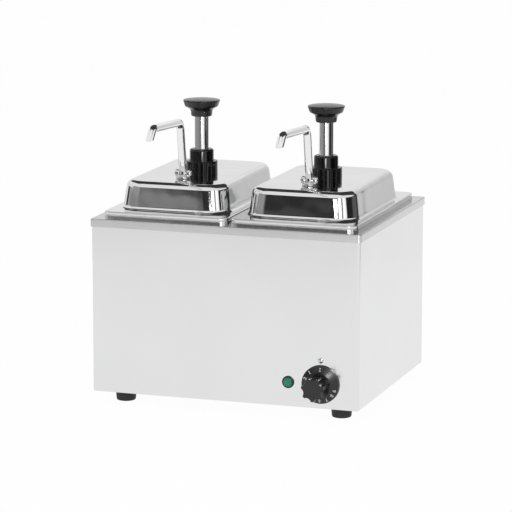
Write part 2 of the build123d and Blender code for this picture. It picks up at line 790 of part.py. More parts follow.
def make_plunger(side, x):
    """Press knob on its tube, and the piston plugged into the tube's lower end."""
    with BuildPart() as press_knob:
        knob_profile = outline(
            facing_front(x, pump_y, press_knob_z),
            [
                (0, press_knob_rim + press_knob_crown),
                (press_knob_crown_radius, press_knob_rim + press_knob_crown),
                (press_knob_radius, press_knob_rim),
                (press_knob_under_radius, press_knob_neck),
                (press_knob_neck_radius, press_knob_neck),
                (press_knob_neck_radius, 0),
                (plunger_radius + push_fit, 0),
                (plunger_radius + push_fit, press_knob_socket),
                (0, press_knob_socket),
            ],
        )
        revolve(knob_profile, axis=Axis((x, pump_y, 0), (0, 0, 1)))
    finish(press_knob.part, f"press_knob_{side}")

    with BuildPart() as tube:
        with BuildSketch(facing_up(x, pump_y, piston_top)):
            Circle(plunger_radius)
            Circle(plunger_radius - plunger_wall, mode=Mode.SUBTRACT)
        extrude(amount=press_knob_z + press_knob_socket - piston_top)
    finish(tube.part, f"plunger_tube_{side}")

    with BuildPart() as piston:
        with BuildSketch(facing_down(x, pump_y, piston_top)):
            Circle(cylinder_bore - running_clearance)
        extrude(amount=piston_length)
        with BuildSketch(facing_up(x, pump_y, piston_top)):
            Circle(plunger_radius - plunger_wall - push_fit)
        extrude(amount=piston_stub)
    finish(piston.part, f"piston_{side}")


def make_spring(side, x):
    """Return spring of square wire between the valve body and the piston, its coil made of short straight runs."""
    wire_reach = spring_wire / sqrt(2)
    coil_height = spring_length - 2 * (wire_reach + seat_gap)
    coil_start = spring_floor + seat_gap + wire_reach
    runs = round(spring_runs * coil_height / spring_pitch)
    turn = 360 / spring_runs
    coil_points = [
        (
            x + spring_radius * cos(radians(turn * step)),
            pump_y + spring_radius * sin(radians(turn * step)),
            coil_start + coil_height * step / runs,
        )
        for step in range(runs + 1)
    ]
    with BuildPart() as spring:
        with BuildLine() as coil:
            Polyline(*coil_points)
        with BuildSketch(Plane(origin=coil.line @ 0, x_dir=(0, 0, 1), z_dir=coil.line % 0)):
            Rectangle(spring_wire, spring_wire)
        sweep(path=coil.line, transition=Transition.RIGHT)
    finish(spring.part, f"return_spring_{side}")


def make_valve(side, x):
    """Valve body under the cylinder, with its intake tube, riser and the two valve discs."""
    with BuildPart() as valve_body:
        with BuildSketch(facing_up(x, pump_y, hub_bottom)):
            Circle(valve_radius)
        extrude(amount=spring_floor + valve_socket - hub_bottom)
        with BuildSketch(facing_down(x, (pump_y + spout_y) / 2, spring_floor)):
            Rectangle(valve_arm_width, spout_pitch)
        extrude(amount=valve_arm_height)
        with BuildSketch(facing_up(x, spout_y, spring_floor - valve_arm_height)):
            Circle(riser_hub_radius)
        extrude(amount=riser_bottom + riser_socket - spring_floor + valve_arm_height)
        with BuildSketch(facing_up(x, pump_y, spring_floor)):
            Circle(cylinder_radius + push_fit)
        extrude(amount=valve_socket, mode=Mode.SUBTRACT)
        with BuildSketch(facing_up(x, pump_y, inlet_seat)):
            Circle(valve_chamber_radius)
        extrude(amount=chamber_depth, mode=Mode.SUBTRACT)
        with BuildSketch(facing_up(x, pump_y, hub_bottom)):
            Circle(intake_radius + push_fit)
        extrude(amount=intake_socket, mode=Mode.SUBTRACT)
        with BuildSketch(facing_up(x, pump_y, hub_bottom)):
            Circle(valve_port_radius)
        extrude(amount=inlet_seat - hub_bottom, mode=Mode.SUBTRACT)
        with BuildSketch(facing_down(x, pump_y, spring_floor)):
            with GridLocations(valve_port_radius + valve_bar, 0, 2, 1):
                Rectangle(valve_port_radius, valve_chamber_radius)
        extrude(amount=valve_bar, mode=Mode.SUBTRACT)
        with BuildSketch(facing_front(x, pump_y, passage_z)):
            Circle(valve_passage_radius)
        extrude(amount=spout_pitch, mode=Mode.SUBTRACT)
        with BuildSketch(facing_up(x, spout_y, passage_z)):
            Circle(valve_port_radius)
        extrude(amount=outlet_seat - passage_z, mode=Mode.SUBTRACT)
        with BuildSketch(facing_up(x, spout_y, outlet_seat)):
            Circle(valve_chamber_radius)
        extrude(amount=chamber_depth + riser_socket, mode=Mode.SUBTRACT)
    finish(valve_body.part, f"valve_body_{side}")
    make_disc(f"inlet_disc_{side}", x, pump_y, inlet_seat)
    make_disc(f"outlet_disc_{side}", x, spout_y, outlet_seat)

    with BuildPart() as intake:
        with BuildSketch(facing_down(x, pump_y, hub_bottom + intake_socket)):
            Circle(intake_radius)
            Circle(intake_radius - intake_wall, mode=Mode.SUBTRACT)
        extrude(amount=hub_bottom + intake_socket - pan_floor_z - intake_clearance)
        with BuildSketch(facing_up(x, pump_y, pan_floor_z + intake_clearance)):
            Rectangle(3 * intake_radius, intake_notch)
        extrude(amount=intake_notch, mode=Mode.SUBTRACT)
    finish(intake.part, f"intake_tube_{side}")

    with BuildPart() as riser:
        riser_outline = outline(
            facing_front(x, spout_y, 0),
            [
                (spout_radius - spout_wall, riser_bottom),
                (valve_chamber_radius - push_fit, riser_bottom),
                (valve_chamber_radius - push_fit, riser_bottom + riser_socket),
                (riser_radius, riser_bottom + riser_socket),
                (riser_radius, lid_under - riser_shoulder),
                (riser_shoulder_radius, lid_under - riser_shoulder),
                (riser_shoulder_radius, lid_under),
                (riser_radius, lid_under),
                (riser_radius, lid_top + riser_stand),
                (spout_radius + running_clearance, lid_top + riser_stand),
                (spout_radius + running_clearance, spout_bottom - stop_gap),
                (spout_radius - spout_wall, spout_bottom - stop_gap),
            ],
        )
        revolve(riser_outline, axis=Axis((x, spout_y, 0), (0, 0, 1)))
    finish(riser.part, f"discharge_riser_{side}")


def make_disc(name, x, y, seat_z):
    """Loose disc that closes a port and lifts off it."""
    with BuildPart() as disc:
        with BuildSketch(facing_up(x, y, seat_z + push_fit)):
            Circle(disc_radius)
        extrude(amount=disc_thickness)
    finish(disc.part, name)


def make_wing_nut(side, x):
    """Wing nut that clamps the riser to the lid: a low hub with two round lobes."""
    lobe_x = wing_span / 2 - wing_lobe_radius
    with BuildPart() as wing_nut:
        with BuildSketch(facing_up(x, spout_y, lid_top)):
            Circle(wing_hub_radius)
        extrude(amount=wing_hub_height)
        with BuildSketch(facing_front(x, spout_y, lid_top)):
            with GridLocations(2 * lobe_x, 0, 2, 1):
                with Locations((0, wing_lobe_rise)):
                    Circle(wing_lobe_radius)
            with BuildLine():
                Polyline(
                    (-lobe_x, wing_lobe_rise + wing_lobe_radius * 0.8),
                    (-wing_span / 2, wing_lobe_rise),
                    (-wing_hub_radius, seat_gap),
                    (wing_hub_radius, seat_gap),
                    (wing_span / 2, wing_lobe_rise),
                    (lobe_x, wing_lobe_rise + wing_lobe_radius * 0.8),
                    (wing_hub_radius / 2, wing_hub_height),
                    (-wing_hub_radius / 2, wing_hub_height),
                    close=True,
                )
            make_face()
        extrude(amount=wing_thickness / 2, both=True)
        with BuildSketch(facing_up(x, spout_y, lid_top)):
            Circle(riser_radius + push_fit)
        extrude(amount=riser_stand + seat_gap, mode=Mode.SUBTRACT)
        with BuildSketch(facing_up(x, spout_y, lid_top)):
            Circle(spout_radius + stop_gap)
        extrude(amount=wing_lobe_rise + wing_span, mode=Mode.SUBTRACT)
    finish(wing_nut.part, f"wing_nut_{side}")


def make_spout(side, x):
    """Bent spout tube: upright in the riser, leaning arm, long run forward, tip cut level."""
    tip_y = front_y - spout_overhang + spout_radius / cos(radians(spout_tip_angle))
    tip_z = lid_top + spout_rise + spout_arm_rise - spout_drop
    front_bend_y = tip_y + spout_drop * tan(radians(spout_tip_angle))
    upper_bend_y = spout_y - (spout_rise - spout_lean_start) * tan(radians(spout_lean))
    beyond = 2 * spout_radius
    with BuildPart() as spout:
        with BuildLine() as route:
            FilletPolyline(
                (x, spout_y, spout_bottom),
                (x, spout_y, lid_top + spout_lean_start),
                (x, upper_bend_y, lid_top + spout_rise),
                (x, front_bend_y, lid_top + spout_rise + spout_arm_rise),
                (x, tip_y - beyond * tan(radians(spout_tip_angle)), tip_z - beyond),
                radius=(spout_lean_bend, spout_bend, spout_bend),
            )
        with BuildSketch(facing_up(x, spout_y, spout_bottom)):
            Circle(spout_radius)
            Circle(spout_radius - spout_wall, mode=Mode.SUBTRACT)
        sweep(path=route.line)
        with BuildSketch(facing_down(x, tip_y, tip_z)):
            Rectangle(4 * spout_radius, 6 * spout_radius)
        extrude(amount=2 * beyond, mode=Mode.SUBTRACT)
    finish(spout.part, f"spout_{side}")


for side, x in sides.items():
    make_pan(side, x)
    make_lid(side, x)
    make_cylinder(side, x)
    make_plunger(side, x)
    make_spring(side, x)
    make_valve(side, x)
    make_wing_nut(side, x)
    make_spout(side, x)
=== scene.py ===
from math import cos, pi, radians, sin, tan

import bpy
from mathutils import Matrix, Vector


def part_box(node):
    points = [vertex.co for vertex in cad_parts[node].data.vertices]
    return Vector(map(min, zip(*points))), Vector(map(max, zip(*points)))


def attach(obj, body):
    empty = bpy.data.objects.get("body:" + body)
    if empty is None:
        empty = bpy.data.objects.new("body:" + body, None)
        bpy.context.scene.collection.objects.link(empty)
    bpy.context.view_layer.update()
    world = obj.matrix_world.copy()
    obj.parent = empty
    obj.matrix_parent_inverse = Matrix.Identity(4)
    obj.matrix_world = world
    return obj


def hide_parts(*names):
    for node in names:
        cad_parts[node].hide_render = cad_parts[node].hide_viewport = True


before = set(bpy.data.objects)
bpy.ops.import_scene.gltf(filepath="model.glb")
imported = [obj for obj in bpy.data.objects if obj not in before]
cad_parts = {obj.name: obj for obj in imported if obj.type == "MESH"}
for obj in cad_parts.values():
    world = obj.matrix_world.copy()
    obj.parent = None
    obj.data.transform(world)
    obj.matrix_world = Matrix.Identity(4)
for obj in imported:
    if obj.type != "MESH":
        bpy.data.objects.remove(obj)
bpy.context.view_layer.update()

print("frame loaded", len(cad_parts), "nodes")

# Places that several pieces share, in millimetres
levels = {
    "footHeight": 16.0, "deckTop": 237.0, "lidSeat": 241.0, "rim": 244.5, "lidTop": 279.5,
    "cylinderTop": 307.5, "pressKnob": 349.5,
}
sides = {"left": -83.5, "right": 83.5}
housingY = 12.0
frontY = -133.0
rearY = 157.0
pumpY = 22.0
spoutY = -48.0
past = 1.0    # how far a cutter stands past the face it cuts
mm = 0.001


# Small helpers for picking and finishing

def pick(*objs):
    bpy.ops.object.select_all(action="DESELECT")
    for obj in objs:
        obj.select_set(True)
    bpy.context.view_layer.objects.active = objs[0]


def editMode():
    bpy.ops.object.mode_set(mode="EDIT")
    bpy.ops.mesh.select_mode(type="VERT")


def objectMode():
    bpy.ops.object.mode_set(mode="OBJECT")


def added(name):
    piece = bpy.context.object
    piece.name = name
    piece.data.name = name
    return piece


def joined(name, pieces):
    pick(*pieces)
    bpy.ops.object.join()
    return added(name)


def chooseVerts(piece, test):
    # leaves edit mode with only the corners chosen that pass the test
    pick(piece)
    editMode()
    bpy.ops.mesh.select_all(action="DESELECT")
    objectMode()
    for vert in piece.data.vertices:
        vert.select = test(vert.co)
    editMode()


def applyPlace(piece):
    pick(piece)
    bpy.ops.object.transform_apply(location=True, rotation=True, scale=True)


def useModifier(piece, kind, **settings):
    pick(piece)
    modifier = piece.modifiers.new(kind.title(), kind)
    for key, value in settings.items():
        setattr(modifier, key, value)
    bpy.ops.object.modifier_apply(modifier=modifier.name)


def cutWith(piece, cutters):
    for cutter in cutters:
        useModifier(piece, "BOOLEAN", object=cutter, operation="DIFFERENCE", solver="EXACT")
    for cutter in cutters:
        bpy.data.objects.remove(cutter, do_unlink=True)


def standUp(piece, place, turned=90):
    # a piece made flat on the origin is stood up, facing the front, at its place
    applyPlace(piece)
    piece.rotation_euler = (radians(turned), 0, 0)
    piece.location = [value * mm for value in place]
    applyPlace(piece)
    return piece


def turnedTo(place, aim):
    return (Vector(aim) - Vector(place)).to_track_quat("-Z", "Y").to_euler()


def ringStart(name, centre, radius, level, around, fill):
    bpy.ops.object.select_all(action="DESELECT")
    place = (centre[0] * mm, centre[1] * mm, level * mm)
    bpy.ops.mesh.primitive_circle_add(vertices=around, radius=radius * mm, fill_type=fill, location=place)
    piece = added(name)
    editMode()
    bpy.ops.mesh.select_all(action="SELECT")
    return piece


def ringOn(centre, here, there):
    # the chosen ring is led on from one (radius, level) to the next
    bpy.ops.mesh.extrude_region_move(TRANSFORM_OT_translate={"value": (0, 0, (there[1] - here[1]) * mm)})
    grow = there[0] / here[0]
    hold = (centre[0] * mm, centre[1] * mm, there[1] * mm)
    bpy.ops.transform.resize(value=(grow, grow, 1), center_override=hold)


def turnedSolid(name, centre, rings, around=64):
    # a disc at the first ring is extruded and scaled through the others; sizes in mm
    piece = ringStart(name, centre, *rings[0], around, "NGON")
    for here, there in zip(rings, rings[1:]):
        ringOn(centre, here, there)
    bpy.ops.mesh.select_all(action="SELECT")
    bpy.ops.mesh.normals_make_consistent(inside=False)
    objectMode()
    return piece


def turnedTube(name, centre, rings, around=64):
    # an open ring is led round a closed profile and welded to its own start
    piece = ringStart(name, centre, *rings[0], around, "NOTHING")
    for here, there in zip(rings, rings[1:] + rings[:1]):
        ringOn(centre, here, there)
    bpy.ops.mesh.select_all(action="SELECT")
    bpy.ops.mesh.remove_doubles(threshold=0.00001)
    bpy.ops.mesh.normals_make_consistent(inside=False)
    objectMode()
    return piece


def edgeRings(radius, level, offsets):
    # (radius, level) rings, given by how far they lie outside and above one corner of a profile
    return [(radius + out, level + up) for out, up in offsets]


def domeRings(radius, level, rise, parts, step):
    # the rings of a low dome, every step degrees from its edge towards the middle
    angles = [radians(part * step) for part in range(1, parts + 1)]
    return [(radius * cos(angle), level + rise * sin(angle)) for angle in angles]


def roundedRing(width, length, corner, centre, steps, filled=False):
    # a plane with its corners rounded, with or without its face
    bpy.ops.object.select_all(action="DESELECT")
    bpy.ops.mesh.primitive_plane_add(size=1, location=[value * mm for value in centre])
    ring = added("ring")
    ring.scale = (width * mm, length * mm, 1)
    applyPlace(ring)
    editMode()
    bpy.ops.mesh.select_all(action="SELECT")
    bpy.ops.mesh.bevel(offset=corner * mm, segments=steps, affect="VERTICES")
    if not filled:
        bpy.ops.mesh.delete(type="ONLY_FACE")
    objectMode()
    return ring


def roundedBlock(name, width, length, corner, centre, low, high):
    block = roundedRing(width, length, corner, (*centre, low), 8, True)
    pick(block)
    editMode()
    bpy.ops.mesh.select_all(action="SELECT")
    bpy.ops.mesh.extrude_region_move(TRANSFORM_OT_translate={"value": (0, 0, (high - low) * mm)})
    bpy.ops.mesh.select_all(action="SELECT")
    bpy.ops.mesh.normals_make_consistent(inside=False)
    objectMode()
    return added(name)


def arcPoints(before, corner, after, bend, steps):
    # rounds the corner of an outline of (out, level) points with an arc of radius bend
    before, corner, after = Vector(before), Vector(corner), Vector(after)
    goIn, goOut = (corner - before).normalized(), (after - corner).normalized()
    turn = goIn.angle(goOut)
    start = corner - goIn * bend * tan(turn / 2)
    centre = corner + (goOut - goIn).normalized() * bend / cos(turn / 2)
    way = 1 if goIn.x * goOut.y - goIn.y * goOut.x > 0 else -1
    arm = start - centre
    points = []
    for step in range(steps + 1):
        angle = way * turn * step / steps
        across, up = cos(angle), sin(angle)
        points.append((centre.x + arm.x * across - arm.y * up, centre.y + arm.x * up + arm.y * across))
    return points


def softRings(profile, steps):
    # rings of (width, length, corner, level) along a profile
    # a bend above 0 rounds the place, and a bend of None only gives a direction
    rings = []
    for number, (width, length, corner, level, bend) in enumerate(profile):
        if bend is None:
            continue
        if bend == 0:
            rings.append((width, length, corner, level))
            continue
        near = (profile[number - 1], profile[number], profile[number + 1])
        across = arcPoints(*((ring[0] / 2, ring[3]) for ring in near), bend, steps)
        along = arcPoints(*((ring[1] / 2, ring[3]) for ring in near), bend, steps)
        for (halfWidth, ringLevel), (halfLength, _) in zip(across, along):
            rings.append((2 * halfWidth, 2 * halfLength, corner + halfWidth - width / 2, ringLevel))
    return rings


def pressedSheet(name, centre, profile, steps=6, cornerSteps=8, capped=True):
    # rounded rings joined and bridged each to the next, and the last one closed
    sizes = softRings(profile, steps)
    rings = [roundedRing(w, l, c, (centre[0], centre[1], z), cornerSteps) for w, l, c, z in sizes]
    for number, ring in enumerate(rings):
        group = ring.vertex_groups.new(name=f"ring{number}")
        group.add([vert.index for vert in ring.data.vertices], 1.0, "REPLACE")
    shell = joined(name, rings)
    editMode()
    for number in range(len(sizes) - 1):
        bpy.ops.mesh.select_all(action="DESELECT")
        for chosen in (number, number + 1):
            shell.vertex_groups.active = shell.vertex_groups[f"ring{chosen}"]
            bpy.ops.object.vertex_group_select()
        bpy.ops.mesh.bridge_edge_loops()
    if capped:
        bpy.ops.mesh.select_all(action="DESELECT")
        shell.vertex_groups.active = shell.vertex_groups[f"ring{len(sizes) - 1}"]
        bpy.ops.object.vertex_group_select()
        bpy.ops.mesh.edge_face_add()
    bpy.ops.mesh.select_all(action="SELECT")
    bpy.ops.mesh.normals_make_consistent(inside=False)
    objectMode()
    shell.vertex_groups.clear()
    return shell


def finishPiece(piece, finish, body, nodes=(), angle=35, weighted=True):
    applyPlace(piece)
    bpy.ops.object.shade_smooth_by_angle(angle=radians(angle))
    if weighted:
        useModifier(piece, "WEIGHTED_NORMAL", keep_sharp=True, weight=60)
    piece.data.materials.clear()
    piece.data.materials.append(finishes[finish])
    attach(piece, body)
    if nodes:
        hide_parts(*nodes)


def copyOf(piece, name, shift):
    twin = piece.copy()
    twin.data = piece.data.copy()
    twin.name = name
    twin.data.name = name
    bpy.context.collection.objects.link(twin)
    applyPlace(twin)
    twin.location = [value * mm for value in shift]
    applyPlace(twin)
    return twin


def drop(*models):
    for model in models:
        bpy.data.objects.remove(model, do_unlink=True)


# Finishes
texture = {
    "metalCloud": 9.0, "metalGrainDepth": 0.0002, "waveScale": 26.0, "waveDepth": 0.002,
    "plasticCloud": 60.0, "plasticSkinDepth": 0.0001, "valuesFrom": 0.25, "valuesTo": 0.75,
    "tonesFrom": 0.3, "tonesTo": 0.7,
}


def newMaterial(name, **settings):
    material = bpy.data.materials.new(name)
    material.use_nodes = True
    shader = material.node_tree.nodes["Principled BSDF"]
    for key, value in settings.items():
        shader.inputs[key.replace("_", " ")].default_value = value
    return material, material.node_tree.nodes, material.node_tree.links, shader


def objectNoise(nodes, links, scale, stretch=(1, 1, 1), detail=3.0):
    coords = nodes.new("ShaderNodeTexCoord")
    mapping = nodes.new("ShaderNodeMapping")
    mapping.inputs["Scale"].default_value = stretch
    noise = nodes.new("ShaderNodeTexNoise")
    noise.inputs["Scale"].default_value = scale
    noise.inputs["Detail"].default_value = detail
    links.new(coords.outputs["Object"], mapping.inputs["Vector"])
    links.new(mapping.outputs["Vector"], noise.inputs["Vector"])
    return noise.outputs["Fac"]


def spread(nodes, links, source, low, high):
    # spreads a 0 to 1 pattern over a small range of values
    span = nodes.new("ShaderNodeMapRange")
    span.inputs["From Min"].default_value = texture["valuesFrom"]
    span.inputs["From Max"].default_value = texture["valuesTo"]
    span.inputs["To Min"].default_value = low
    span.inputs["To Max"].default_value = high
    links.new(source, span.inputs["Value"])
    return span.outputs["Result"]


def shadeBetween(nodes, links, source, dark, pale):
    ramp = nodes.new("ShaderNodeValToRGB")
    ramp.color_ramp.elements[0].position = texture["tonesFrom"]
    ramp.color_ramp.elements[1].position = texture["tonesTo"]
    ramp.color_ramp.elements[0].color = (*dark, 1)
    ramp.color_ramp.elements[1].color = (*pale, 1)
    links.new(source, ramp.inputs["Fac"])
    return ramp.outputs["Color"]


def bumpFrom(nodes, links, source, shader, strength, distance):
    bump = nodes.new("ShaderNodeBump")
    bump.inputs["Strength"].default_value = strength
    bump.inputs["Distance"].default_value = distance
    links.new(source, bump.inputs["Height"])
    links.new(bump.outputs["Normal"], shader.inputs["Normal"])


def sheetMetal(name, tones, roughness, grain, stretch, strength, wave=0.0):
    # rolled or brushed metal: a fine grain, a slow cloud in the polish and, on thin sheet, slight waves
    material, nodes, links, shader = newMaterial(name, Metallic=1.0)
    grainNoise = objectNoise(nodes, links, grain, stretch, 4.0)
    cloud = objectNoise(nodes, links, texture["metalCloud"])
    links.new(shadeBetween(nodes, links, cloud, *tones), shader.inputs["Base Color"])
    links.new(spread(nodes, links, grainNoise, *roughness), shader.inputs["Roughness"])
    bumpFrom(nodes, links, grainNoise, shader, strength, texture["metalGrainDepth"])
    if wave:
        swell = nodes.new("ShaderNodeBump")
        swell.inputs["Strength"].default_value = wave
        swell.inputs["Distance"].default_value = texture["waveDepth"]
        links.new(objectNoise(nodes, links, texture["waveScale"], detail=1.0), swell.inputs["Height"])
        links.new(swell.outputs["Normal"], nodes["Bump"].inputs["Normal"])
    return material


def moulded(name, tones, roughness, grain, strength, **settings):
    # moulded plastic or rubber: slight cloud in the colour and a fine skin texture
    material, nodes, links, shader = newMaterial(name, **settings)
    skin = objectNoise(nodes, links, grain)
    cloud = objectNoise(nodes, links, texture["plasticCloud"])
    links.new(shadeBetween(nodes, links, cloud, *tones), shader.inputs["Base Color"])
    links.new(spread(nodes, links, skin, *roughness), shader.inputs["Roughness"])
    bumpFrom(nodes, links, skin, shader, strength, texture["plasticSkinDepth"])
    return material


def greys(dark, pale):
    return (dark, dark, dark * 1.003), (pale, pale, pale * 1.003)


# colours between dark and pale, roughness from and to, grain scale and its stretch, bump and wave
metalLooks = {
    "boxSheet": (greys(0.755, 0.775), (0.15, 0.18), 700, (1.0, 1.0, 0.05), 0.002),
    "deckSheet": (greys(0.68, 0.71), (0.22, 0.28), 700, (0.05, 1.0, 1.0), 0.003),
    "panSheet": (greys(0.66, 0.7), (0.12, 0.18), 700, (1.0, 1.0, 0.1), 0.004, 0.1),
    "lidSheet": (greys(0.69, 0.74), (0.05, 0.11), 500, (1.0, 1.0, 1.0), 0.004, 0.4),
    "chromeTube": (greys(0.8, 0.84), (0.03, 0.07), 500, (1, 1, 0.05), 0.01),
    "zincSheet": (greys(0.42, 0.6), (0.35, 0.5), 60, (1, 1, 1), 0.05),
    "screwSteel": (greys(0.58, 0.66), (0.14, 0.2), 800, (1, 1, 1), 0.004),
    "springWire": (greys(0.48, 0.56), (0.2, 0.3), 900, (1, 1, 1), 0.03),
    "heaterSteel": (((0.22, 0.19, 0.17), (0.4, 0.36, 0.33)), (0.35, 0.55), 90, (1, 1, 1), 0.1),
    "copperTube": (((0.62, 0.34, 0.22), (0.78, 0.47, 0.32)), (0.22, 0.38), 300, (1, 1, 1), 0.05),
}
plasticLooks = {
    "knobPlastic": (greys(0.008, 0.012), (0.2, 0.26), 900, 0.01),
    "glossPlastic": (greys(0.003, 0.005), (0.05, 0.08), 500, 0.004),
    "blackPlastic": (greys(0.018, 0.03), (0.4, 0.52), 900, 0.08),
    "footRubber": (greys(0.012, 0.022), (0.55, 0.7), 1200, 0.12),
    "palePlastic": (((0.68, 0.66, 0.6), (0.76, 0.74, 0.69)), (0.35, 0.45), 700, 0.05),
    "milkyPlastic": (((0.72, 0.73, 0.73), (0.8, 0.81, 0.81)), (0.2, 0.3), 500, 0.03),
    "bezelPlastic": (((0.004, 0.018, 0.014), (0.006, 0.026, 0.02)), (0.14, 0.2), 700, 0.02),
    "greenLens": (((0.01, 0.2, 0.13), (0.014, 0.25, 0.165)), (0.16, 0.22), 300, 0.02),
    "dialWhite": (greys(0.7, 0.8), (0.45, 0.6), 900, 0.05),
}
finishes = {name: sheetMetal(name, *look) for name, look in metalLooks.items()}
finishes |= {name: moulded(name, *look) for name, look in plasticLooks.items()}
print("finishes", len(finishes))

# Camera, floor, lamps and the cards that polished metal needs around it
shot = {"place": (1.2409, -3.7153, 0.9288), "aim": (-0.0066, 0.012, 0.1734), "roll": 0.06, "lens": 219.9}
studio = {
    "floorSize": 30.0, "floorShade": 0.9, "floorRoughness": 0.9, "floorGlow": 0.97, "worldFill": 0.55,
    "lampAim": (0, 0, 0.15), "keyPower": 26.0, "keySize": 1.6, "keyPlace": (-1.4, -1.8, 2.6),
    "topPower": 14.0, "topSize": 2.0, "topPlace": (0.4, 0.3, 2.4),
    "canopySize": (3.2, 2.64), "canopyPlace": (0, 0.55, 1.8), "canopyTilt": 142.7, "canopyShade": 0.05,
    "sheenSize": (0.17, 0.13), "sheenPlace": (0.26, -0.7, 0.27), "sheenAim": (0.13, -0.16, 0.05),
    "sheenShade": 14.0, "bandSides": 180,
}
# greys round the object, by the angle from straight ahead towards the right, in degrees
lowSurround = {
    "radius": 1.0, "low": 0.13, "high": 0.32, "gain": 5.0,
    "greys": [
        (-180, 0.9), (-104, 0.9), (-102, 0.05), (-88, 0.05), (-86, 0.5), (-74, 0.3), (-21, 0.28), (-17, 0.08),
        (8, 0.04), (10, 1.1), (24, 1.1), (25, 2.2), (27, 2.2), (28, 1.1), (58, 1.0), (60, 0.12), (63, 0.12),
        (64, 0.9), (66, 0.9), (67, 0.02), (98, 0.03), (104, 0.12), (130, 0.12), (136, 0.03), (148, 0.03),
        (151, 0.7), (172, 0.7), (174, 0.9), (180, 0.9),
    ],
}
sideSurround = {
    "radius": 1.0, "low": 0.0, "high": 0.13, "gain": 1.0,
    "greys": [
        (-180, 0.97), (-152, 0.97), (-150, 0.06), (-116, 0.06), (-114, 0.97), (114, 0.97), (116, 0.08),
        (142, 0.08), (144, 0.97), (180, 0.97),
    ],
}
highSurround = {
    "radius": 1.5, "low": 0.3, "high": 0.82, "gain": 3.0,
    "greys": [
        (-180, 0.9), (-68, 0.9), (-66, 0.16), (-60, 0.42), (-48, 0.36), (-32, 0.4), (-28, 0.3), (-25, 0.2),
        (-22.5, 0.14), (-20.6, 0.1), (-19.6, 0.035), (-12, 0.03), (27, 0.04), (30, 2.2), (42, 2.0), (44, 0.2),
        (49, 0.2), (51, 1.6), (66, 1.2), (68, 0.02), (100, 0.02), (103, 0.12), (134, 0.14), (137, 0.03),
        (152, 0.03), (156, 0.66), (180, 0.9),
    ],
}
bpy.ops.object.select_all(action="DESELECT")
bpy.ops.object.camera_add(location=shot["place"])
camera = bpy.context.object
camera.name = "viewCamera"
camera.rotation_euler = turnedTo(shot["place"], shot["aim"])
camera.rotation_euler.rotate_axis("Z", radians(shot["roll"]))
camera.data.lens = shot["lens"]
camera.data.sensor_width = 36.0
bpy.context.scene.camera = camera
bpy.context.scene.view_settings.view_transform = "Standard"


def seenBare(nodes, links):
    # 1 for rays from the camera, from gloss and through clear matter, which see the plain white
    path = nodes.new("ShaderNodeLightPath")
    total = path.outputs["Is Camera Ray"]
    for name in ("Is Glossy Ray", "Is Transmission Ray"):
        either = nodes.new("ShaderNodeMath")
        either.operation = "MAXIMUM"
        links.new(total, either.inputs[0])
        links.new(path.outputs[name], either.inputs[1])
        total = either.outputs["Value"]
    return total


def makeWorld():
    world = bpy.data.worlds.new("studioWorld")
    bpy.context.scene.world = world
    world.use_nodes = True
    nodes, links = world.node_tree.nodes, world.node_tree.links
    background = nodes["Background"]
    background.inputs["Color"].default_value = (1, 1, 1, 1)
    level = nodes.new("ShaderNodeMapRange")
    level.inputs["To Min"].default_value = studio["worldFill"]
    level.inputs["To Max"].default_value = 1.0
    links.new(seenBare(nodes, links), level.inputs["Value"])
    links.new(level.outputs["Result"], background.inputs["Strength"])


def makeFloor():
    bpy.ops.object.select_all(action="DESELECT")
    bpy.ops.mesh.primitive_plane_add(size=studio["floorSize"], location=(0, 0, 0))
    floor = added("studioFloor")
    material, nodes, links, shader = newMaterial("floorPaper")
    shader.inputs["Base Color"].default_value = (studio["floorShade"],) * 3 + (1,)
    shader.inputs["Roughness"].default_value = studio["floorRoughness"]
    glow = nodes.new("ShaderNodeEmission")
    mix = nodes.new("ShaderNodeMixShader")
    share = nodes.new("ShaderNodeMapRange")
    share.inputs["To Min"].default_value = 0.0
    share.inputs["To Max"].default_value = studio["floorGlow"]
    links.new(seenBare(nodes, links), share.inputs["Value"])
    links.new(share.outputs["Result"], mix.inputs["Fac"])
    links.new(shader.outputs["BSDF"], mix.inputs[1])
    links.new(glow.outputs["Emission"], mix.inputs[2])
    links.new(mix.outputs["Shader"], nodes["Material Output"].inputs["Surface"])
    floor.data.materials.append(material)


def makeLamp(name, place, size, power):
    bpy.ops.object.select_all(action="DESELECT")
    bpy.ops.object.light_add(type="AREA", location=place)
    lamp = bpy.context.object
    lamp.name = name
    lamp.data.size = size
    lamp.data.energy = power
    lamp.rotation_euler = turnedTo(place, studio["lampAim"])
    lamp.visible_glossy = False


def reflectedOnly(card):
    card.visible_camera = False
    card.visible_diffuse = False
    card.visible_transmission = False
    card.visible_shadow = False


